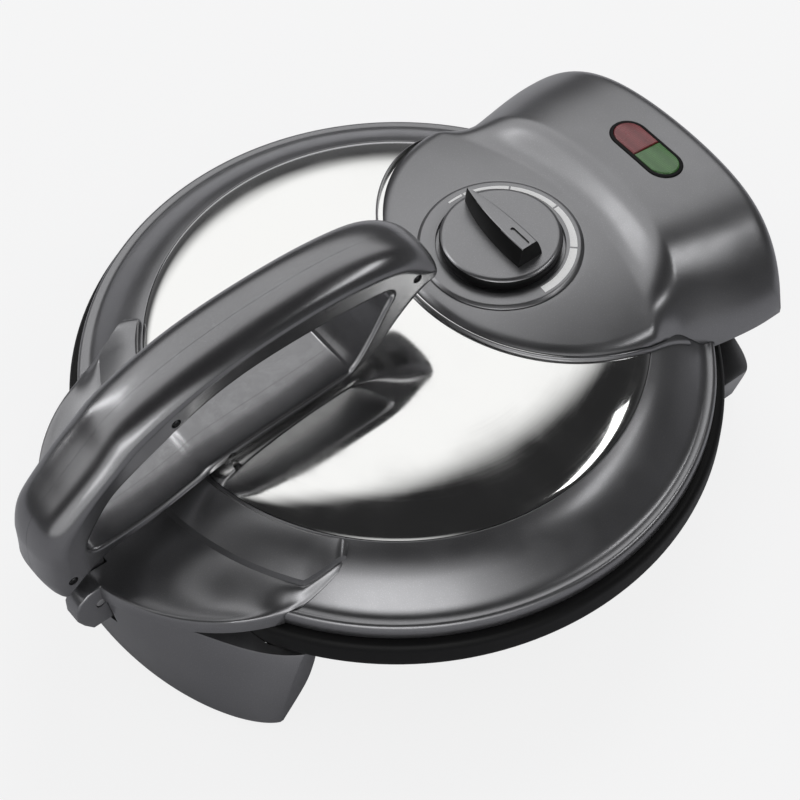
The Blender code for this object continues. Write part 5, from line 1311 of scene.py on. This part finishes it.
def headSolid(wall, floor, columns, rowSteps, edgeSteps):
    sizes = headSizes
    rows = headGrid(columns, rowSteps)
    border = borderOf(rows)
    rings = []
    for k in range(1, edgeSteps + 1):
        turn = pi / 2 * k / edgeSteps
        ring = grownPlan(border, sin(turn) * (sizes["edgeWidth"] - wall))
        fall = wall + sizes["edge"] * (1 - cos(turn))
        rings.append([(x, y, headHeight(x, y) - fall) for x, y in ring])
    build = bmesh.new()
    grid = ringsOf(build, [[(x, y, headHeight(x, y) - wall) for x, y in row] for row in rows])
    for row, after in zip(grid, grid[1:]):
        for k in range(len(row) - 1):
            build.faces.new((row[k], row[k + 1], after[k + 1], after[k]))
    ground = [(p[0], p[1], floor) for p in rings[-1]]
    loops = [borderOf(grid)] + ringsOf(build, rings + [ground])
    for ring, after in zip(loops, loops[1:]):
        joinRings(build, ring, after)
    build.faces.new(loops[-1])
    return build


lensSizes = {
    "y": 158.0, "half": 20.5, "round": 8.5, "frame": 1.8, "proud": 0.9, "thickness": 4.0, "pocketGap": 0.25,
    "lensGap": 0.2, "middleGap": 0.15, "cutReach": 20.0,
}


def lensPlace():
    sizes = headSizes
    front = sizes["boxStep"] + sizes["boxRise"]
    lean = atan2(sizes["rearDrop"], sizes["boxRear"] - front)
    return Matrix.Translation((0, lensSizes["y"], roofHeight(lensSizes["y"]))) @ Matrix.Rotation(-lean, 4, "X")


def stadium(half, radius):
    straight = half - radius
    return arcPoints(radius, (straight, 0), -90, 90, 20) + arcPoints(radius, (-straight, 0), 90, 270, 20)


def onRoof(x, y, z):
    return tuple(lensPlace() @ Vector((x, y, z)))


def buildHeadCover():
    sizes = headSizes
    low = sizes["boxBottom"] - lidSizes["fit"]
    cover = makePiece("headCover", headSolid(0.0, low, sizes["columns"], sizes["rowSteps"], 8), greyShell, 50)
    carve(cover, headSolid(sizes["wall"], sizes["innerFloor"], 28, 1, 3), sharp=50)
    carve(cover, lidEnvelope(lidSizes["fit"]), sharp=50)
    ends = [(0, knobSizes["y"], z) for z in (sizes["shaftLow"], sizes["shaftHigh"])]
    carve(cover, rodBetween(*ends, sizes["shaftHole"], 32, 0.0), sharp=50)
    lens = lensSizes
    gap = lens["frame"] + lens["pocketGap"]
    plan = stadium(lens["half"] + gap, lens["round"] + gap)
    carve(cover, softPrism(plan, -lens["cutReach"], lens["cutReach"], onRoof, 0.0), sharp=50)
    return settle(cover, "lid", "grey_plastic", "head_cover")


trimSizes = {
    "inset": 0.6, "proud": 1.8, "height": 2.2, "roundPower": 2.4, "leastShare": 0.06, "sink": 2.5,
    "end": 111.0, "rows": 10, "stations": 120, "sideStations": 14,
}


def buildHeadTrim():
    # a half-round bead round the disc's edge that lies on the ring and dome
    sizes, head = trimSizes, headSizes
    lines = []
    count = sizes["sideStations"]
    sides = [blend(sizes["end"], head["centre"], k / count) for k in range(count)]
    for share in [k / sizes["rows"] for k in range(sizes["rows"] + 1)]:
        grow = blend(sizes["inset"], sizes["proud"], share)
        left = [(-halfWidth(y) - grow, y) for y in sides]
        front = []
        for k in range(sizes["stations"] + 1):
            angle = radians(blend(-90, 90, k / sizes["stations"]))
            across, along = (head["half"] + grow) * sin(angle), (head["depth"] + grow) * cos(angle)
            front.append((across, head["centre"] - along))
        lines.append((share, left + front + [(-x, y) for x, y in reversed(left)]))
    top, low = [], []
    for k in range(len(lines[0][1])):
        row = []
        for share, line in lines:
            x, y = line[k]
            rise = sizes["height"] * sqrt(max(sizes["leastShare"], 1 - share ** sizes["roundPower"]))
            row.append((x, y, lidHeight(hypot(x, y)) + lidSizes["fit"] + rise))
        top.append(row)
        low.append([(x, y, z - sizes["height"] - sizes["sink"]) for x, y, z in row])
    trim = makePiece("headTrim", slab(top, low), greyShell, 60)
    carve(trim, lidEnvelope(lidSizes["fit"]), sharp=60)
    return settle(trim, "lid", "grey_plastic", "head_trim")


def buildHeadBase():
    sizes, fit = headSizes, lidSizes["fit"]
    plan = grownPlan(borderOf(headGrid(48, 2)), sizes["edgeWidth"] - sizes["wall"] - fit)
    low = sizes["boxBottom"] - fit
    piece = makePiece("headBase", softPrism(plan, low, low + sizes["baseThickness"], upwards, 0.4), blackShell)
    carve(piece, lidEnvelope(lidSizes["fit"]))
    return settle(piece, "lid", "black_plastic", "head_base")


def buildLens():
    sizes, radius, reach = lensSizes, lensSizes["round"], lensSizes["cutReach"]
    plan = stadium(sizes["half"] + sizes["frame"], radius + sizes["frame"])
    bezel = softPrism(plan, -sizes["thickness"], sizes["proud"] * 0.6, onRoof, 0.5)
    bezel = makePiece("lensFrame", bezel, blackShell)
    plan = stadium(sizes["half"] + sizes["lensGap"], radius + sizes["lensGap"])
    carve(bezel, softPrism(plan, -reach, reach, onRoof, 0.0))
    settle(bezel, "lid", "black_plastic", "lens_frame")
    right = arcPoints(radius, (sizes["half"] - radius, 0), -90, 90, 24)
    right = [(sizes["middleGap"], -radius)] + right + [(sizes["middleGap"], radius)]
    left = [(-x, y) for x, y in reversed(right)]
    for name, plan, material in (("red", left, redLens), ("green", right, greenLens)):
        lens = softPrism(plan, -sizes["thickness"], sizes["proud"], onRoof, 0.8)
        settle(makePiece(name + "Lens", lens, material), "lid", name + "_lens", "lens_" + name)


buildHeadCover()
buildHeadTrim()
buildHeadBase()
buildLens()
print("head cover, trim and indicator built")


# dial with its printed scale, and the knob

scaleArc = {
    "outer": 37.2, "thickness": 0.12, "start": 187.0, "end": -6.0, "thin": 1.1, "thick": 3.9,
    "gaps": (172.0, 133.0, 91.0, 46.0), "gap": 1.6, "growth": 1.25, "lift": 0.02,
}


def buildDial():
    sizes, plane = dialSizes, headSizes["plane"] + lidSizes["fit"]
    top = plane + sizes["height"]
    outline = [
        (sizes["hole"], plane), (sizes["radius"], plane), (sizes["radius"], plane + sizes["height"] * 0.2),
        (sizes["flat"], top), (sizes["hole"], top),
    ]
    dial = turned(softCorners(outline, 0.5), knobSizes["turnSteps"] * 2, (0, knobSizes["y"]))
    settle(makePiece("dialPlate", dial, greyShell, 25), "lid", "grey_plastic", "dial_plate")
    return top


def buildScale(top):
    # a white band that grows towards the hot end, in pieces parted by narrow gaps
    sizes = scaleArc
    stops = [sizes["start"]] + list(sizes["gaps"]) + [sizes["end"]]
    middle = sizes["outer"] - sizes["thick"] / 2
    build = bmesh.new()
    for first, last in zip(stops, stops[1:]):
        start, end = first - sizes["gap"] / 2, last + sizes["gap"] / 2
        steps = max(4, int((start - end) / 2))
        rows = []
        for k in range(steps + 1):
            angle = blend(start, end, k / steps)
            share = (sizes["start"] - angle) / (sizes["start"] - sizes["end"])
            half = blend(sizes["thin"], sizes["thick"], min(1.0, share * sizes["growth"])) / 2
            along = Vector((cos(radians(angle)), sin(radians(angle))))
            rows.append([along * radius for radius in (middle - half, middle + half)])
        front, back = (
            [[(p.x, knobSizes["y"] + p.y, top + lift) for p in row] for row in rows]
            for lift in (sizes["thickness"], sizes["lift"])
        )
        slab(front, back, build)
    settle(makePiece("dialScale", build, whitePrint), "lid", "ivory_plastic")


knobFinShares = (
    (-1.0, 0.05), (-0.78, 0.36), (-0.45, 0.68), (-0.05, 0.90), (0.40, 1.0), (0.80, 0.98),
)
knobFinRings = (
    (0.50, 1.0), (0.54, 0.995), (0.58, 0.975), (0.62, 0.94), (0.68, 0.86), (0.76, 0.70), (0.84, 0.52),
    (0.91, 0.34), (0.96, 0.18), (1.0, 0.0), (1.04, -0.2),
)
knobMark = {"start": 8.0, "end": 18.5, "half": 1.1, "depth": 0.9}


def buildKnob():
    sizes = knobSizes
    low = headSizes["plane"] + sizes["lift"]
    top = low + sizes["height"]
    bore = low + sizes["height"] * 0.8
    outline = [
        (0.0, bore), (sizes["bore"], bore), (sizes["bore"], low), (sizes["radius"] - 1.6, low),
        (sizes["radius"] - 0.4, low + 0.5), (sizes["radius"], low + sizes["height"] * 0.62),
        (sizes["radius"] - 0.4, low + sizes["height"] * 0.86), (sizes["topRadius"], top),
        (0.0, top),
    ]
    build = turned(softCorners(outline, 1.0, 4), sizes["turnSteps"] * 2, (0, sizes["y"]))
    knob = makePiece("thermostatKnob", build, greyShell, 30)
    plan = [(sizes["finReach"] * a, sizes["finHalf"] * b) for a, b in knobFinShares]
    plan = smoothLine(plan, 6) + [(x, -y) for x, y in reversed(smoothLine(plan, 6))]
    rings = []
    for share, rise in knobFinRings:
        x, height = blend(0.9, 1.0, share), top + sizes["finHeight"] * rise
        rings.append([(a * x, sizes["y"] + b * share, height) for a, b in plan])
    carve(knob, loft(rings), "UNION", 30)
    mark, finTop = knobMark, top + sizes["finHeight"]
    groove = arcPoints(mark["half"], (mark["start"], sizes["y"]), 90, 270, 12)
    groove += arcPoints(mark["half"], (mark["end"], sizes["y"]), -90, 90, 12)
    carve(knob, softPrism(groove, finTop - mark["depth"], finTop + 5, upwards, 0.0), sharp=30)
    # the black material on the steep faces is painted shade, chosen by each face's slope
    knob.data.materials.append(blackShell)
    for face in knob.data.polygons:
        # painted shade: the upright walls of the skirt and of the fin get the black material, standing in for
        # the shade on the knob's sides
        if abs(face.normal.z) < sizes["shadedWallLean"]:
            face.material_index = 1
    return settle(knob, "knob", "grey_plastic", "thermostat_knob")


buildScale(buildDial())
buildKnob()
print("dial and knob built")


# pieces that keep their CAD shape

dress(heaterSheath, "upper_heater", "lower_heater")
dress(platedSteel, "upper_shield", "lower_shield", "thermostat_plate", "knob_shaft",
      *bothSides("base_hinge", "lid_hinge", "hinge_pin"), *numbered("cover_screw", 4),
      *numbered("upper_stud", 3), *numbered("lower_stud", 3))
dress(blackShell, "bottom_cover", *numbered("shield_post", 3))
dress(ivoryPart, "terminal_block", "thermostat_body", "lamp_red", "lamp_green")
print("remaining nodes dressed")


# studio: pale floor, white surroundings, soft lamps

studio = {
    "floorTone": 0.62, "floorGlow": 0.84, "floorReach": 4.0, "fill": 0.30, "highTone": 0.02,
    "horizonTone": 0.10, "whiteTowards": (-1.0, 0.0, 0.0), "whiteStart": 0.17, "whiteFull": 0.29,
    "whiteLow": 0.30, "whiteHigh": 0.52, "frontTowards": (0.77, -0.62, 0.10), "frontStart": 0.62,
    "frontFull": 0.78,
}
lamps = {
    "topSoftbox": {"place": (-0.75, 0.85, 1.25), "size": (1.0, 0.8), "power": 10.0, "mirrored": False},
    "frontSoftbox": {"place": (0.95, -0.80, 0.80), "size": (1.0, 0.35), "power": 2.2, "mirrored": True},
    "rightStrip": {"place": (0.54, 0.78, 1.05), "size": (0.75, 0.20), "power": 1.6, "mirrored": True},
    "leftStrip": {"place": (-1.1, -0.75, 0.9), "size": (0.2, 1.0), "power": 2.5, "mirrored": True},
}


def buildFloor():
    build = bmesh.new()
    reach = studio["floorReach"]
    bmesh.ops.create_circle(build, cap_ends=True, segments=96, radius=reach)
    mesh = bpy.data.meshes.new("studioFloor")
    build.to_mesh(mesh)
    build.free()
    floor = bpy.data.objects.new("studioFloor", mesh)
    scene.collection.objects.link(floor)
    floor.location.z = cadLow.z - 0.0002
    material, shader = startMaterial("paleFloor", specular=0.2)
    tree = material.node_tree
    shader.inputs["Roughness"].default_value = 0.7
    tones = grey(studio["floorTone"]), grey(studio["floorTone"] * 0.985)
    tone = mixColor(tree, noiseNode(tree, 6.0, 2.0), *tones)
    tree.links.new(tone, shader.inputs["Base Color"])
    glow = tree.nodes.new("ShaderNodeEmission")
    path = tree.nodes.new("ShaderNodeLightPath")
    mixer = tree.nodes.new("ShaderNodeMixShader")
    seen = mathNode(tree, "MULTIPLY", path.outputs["Is Camera Ray"], studio["floorGlow"])
    tree.links.new(seen, mixer.inputs["Fac"])
    tree.links.new(shader.outputs["BSDF"], mixer.inputs[1])
    tree.links.new(glow.outputs[0], mixer.inputs[2])
    tree.links.new(mixer.outputs[0], tree.nodes["Material Output"].inputs["Surface"])
    mesh.materials.append(material)


def facingNode(tree, direction):
    place = tree.nodes.new("ShaderNodeTexCoord")
    facing = tree.nodes.new("ShaderNodeVectorMath")
    facing.operation = "DOT_PRODUCT"
    facing.inputs[1].default_value = Vector(direction).normalized()
    tree.links.new(place.outputs["Generated"], facing.inputs[0])
    return facing.outputs["Value"]


def buildWorld():
    # the camera sees white, and reflections see white surroundings that fade to grey overhead
    world = bpy.data.worlds.new("studioWorld")
    scene.world = world
    world.use_nodes = True
    tree = world.node_tree
    background = tree.nodes["Background"]
    path = tree.nodes.new("ShaderNodeLightPath")
    height = facingNode(tree, (0, 0, 1))
    side = rangeNode(tree, facingNode(tree, studio["whiteTowards"]), studio["whiteStart"], studio["whiteFull"])
    raised = rangeNode(tree, height, studio["whiteLow"], studio["whiteHigh"])
    front = rangeNode(tree, facingNode(tree, studio["frontTowards"]), studio["frontStart"], studio["frontFull"])
    white = mathNode(tree, "MAXIMUM", mathNode(tree, "MULTIPLY", side, raised), front)
    rise = rangeNode(tree, height, 0.0, 0.6)
    around = mixColor(tree, rise, grey(studio["horizonTone"]), grey(studio["highTone"]))
    reflected = mixColor(tree, white, around, (1.0, 1.0, 1.0, 1))
    mirrored = mathNode(tree, "MAXIMUM", path.outputs["Is Glossy Ray"], path.outputs["Is Transmission Ray"])
    fill = mixColor(tree, mirrored, grey(studio["fill"]), reflected)
    seen = mixColor(tree, path.outputs["Is Camera Ray"], fill, (1.0, 1.0, 1.0, 1))
    tree.links.new(seen, background.inputs["Color"])


def buildLamps():
    for name, lamp in lamps.items():
        light = bpy.data.lights.new(name, "AREA")
        light.shape = "RECTANGLE"
        light.size, light.size_y = lamp["size"]
        light.energy = lamp["power"]
        thing = bpy.data.objects.new(name, light)
        scene.collection.objects.link(thing)
        thing.location = lamp["place"]
        thing.visible_glossy = lamp["mirrored"]
        aim = Vector((0, 0, 0.08)) - Vector(lamp["place"])
        thing.rotation_euler = aim.to_track_quat("-Z", "Y").to_euler()


def buildCamera():
    # placed by the photo's viewing angle, with the lip's centre near the middle of the picture
    view = {
        "azimuth": 51.5, "elevation": 53.46, "distance": 1.2, "right": 0.00145, "up": -0.01679, "focal": 110.61,
    }
    turn, tilt = radians(view["azimuth"]), radians(view["elevation"])
    right = Vector((cos(turn), sin(turn), 0))
    back = Vector((sin(turn) * cos(tilt), -cos(turn) * cos(tilt), sin(tilt)))
    up = back.cross(right)
    data = bpy.data.cameras.new("photoCamera")
    data.sensor_width = 36.0
    data.lens = view["focal"]
    camera = bpy.data.objects.new("photoCamera", data)
    scene.collection.objects.link(camera)
    matrix = Matrix((right, up, back)).transposed().to_4x4()
    matrix.translation = right * view["right"] + up * view["up"] + back * view["distance"] + lipMiddle
    camera.matrix_world = matrix
    scene.camera = camera


buildFloor()
buildWorld()
buildLamps()
buildCamera()
scene.view_settings.view_transform = "Standard"
print("studio built")
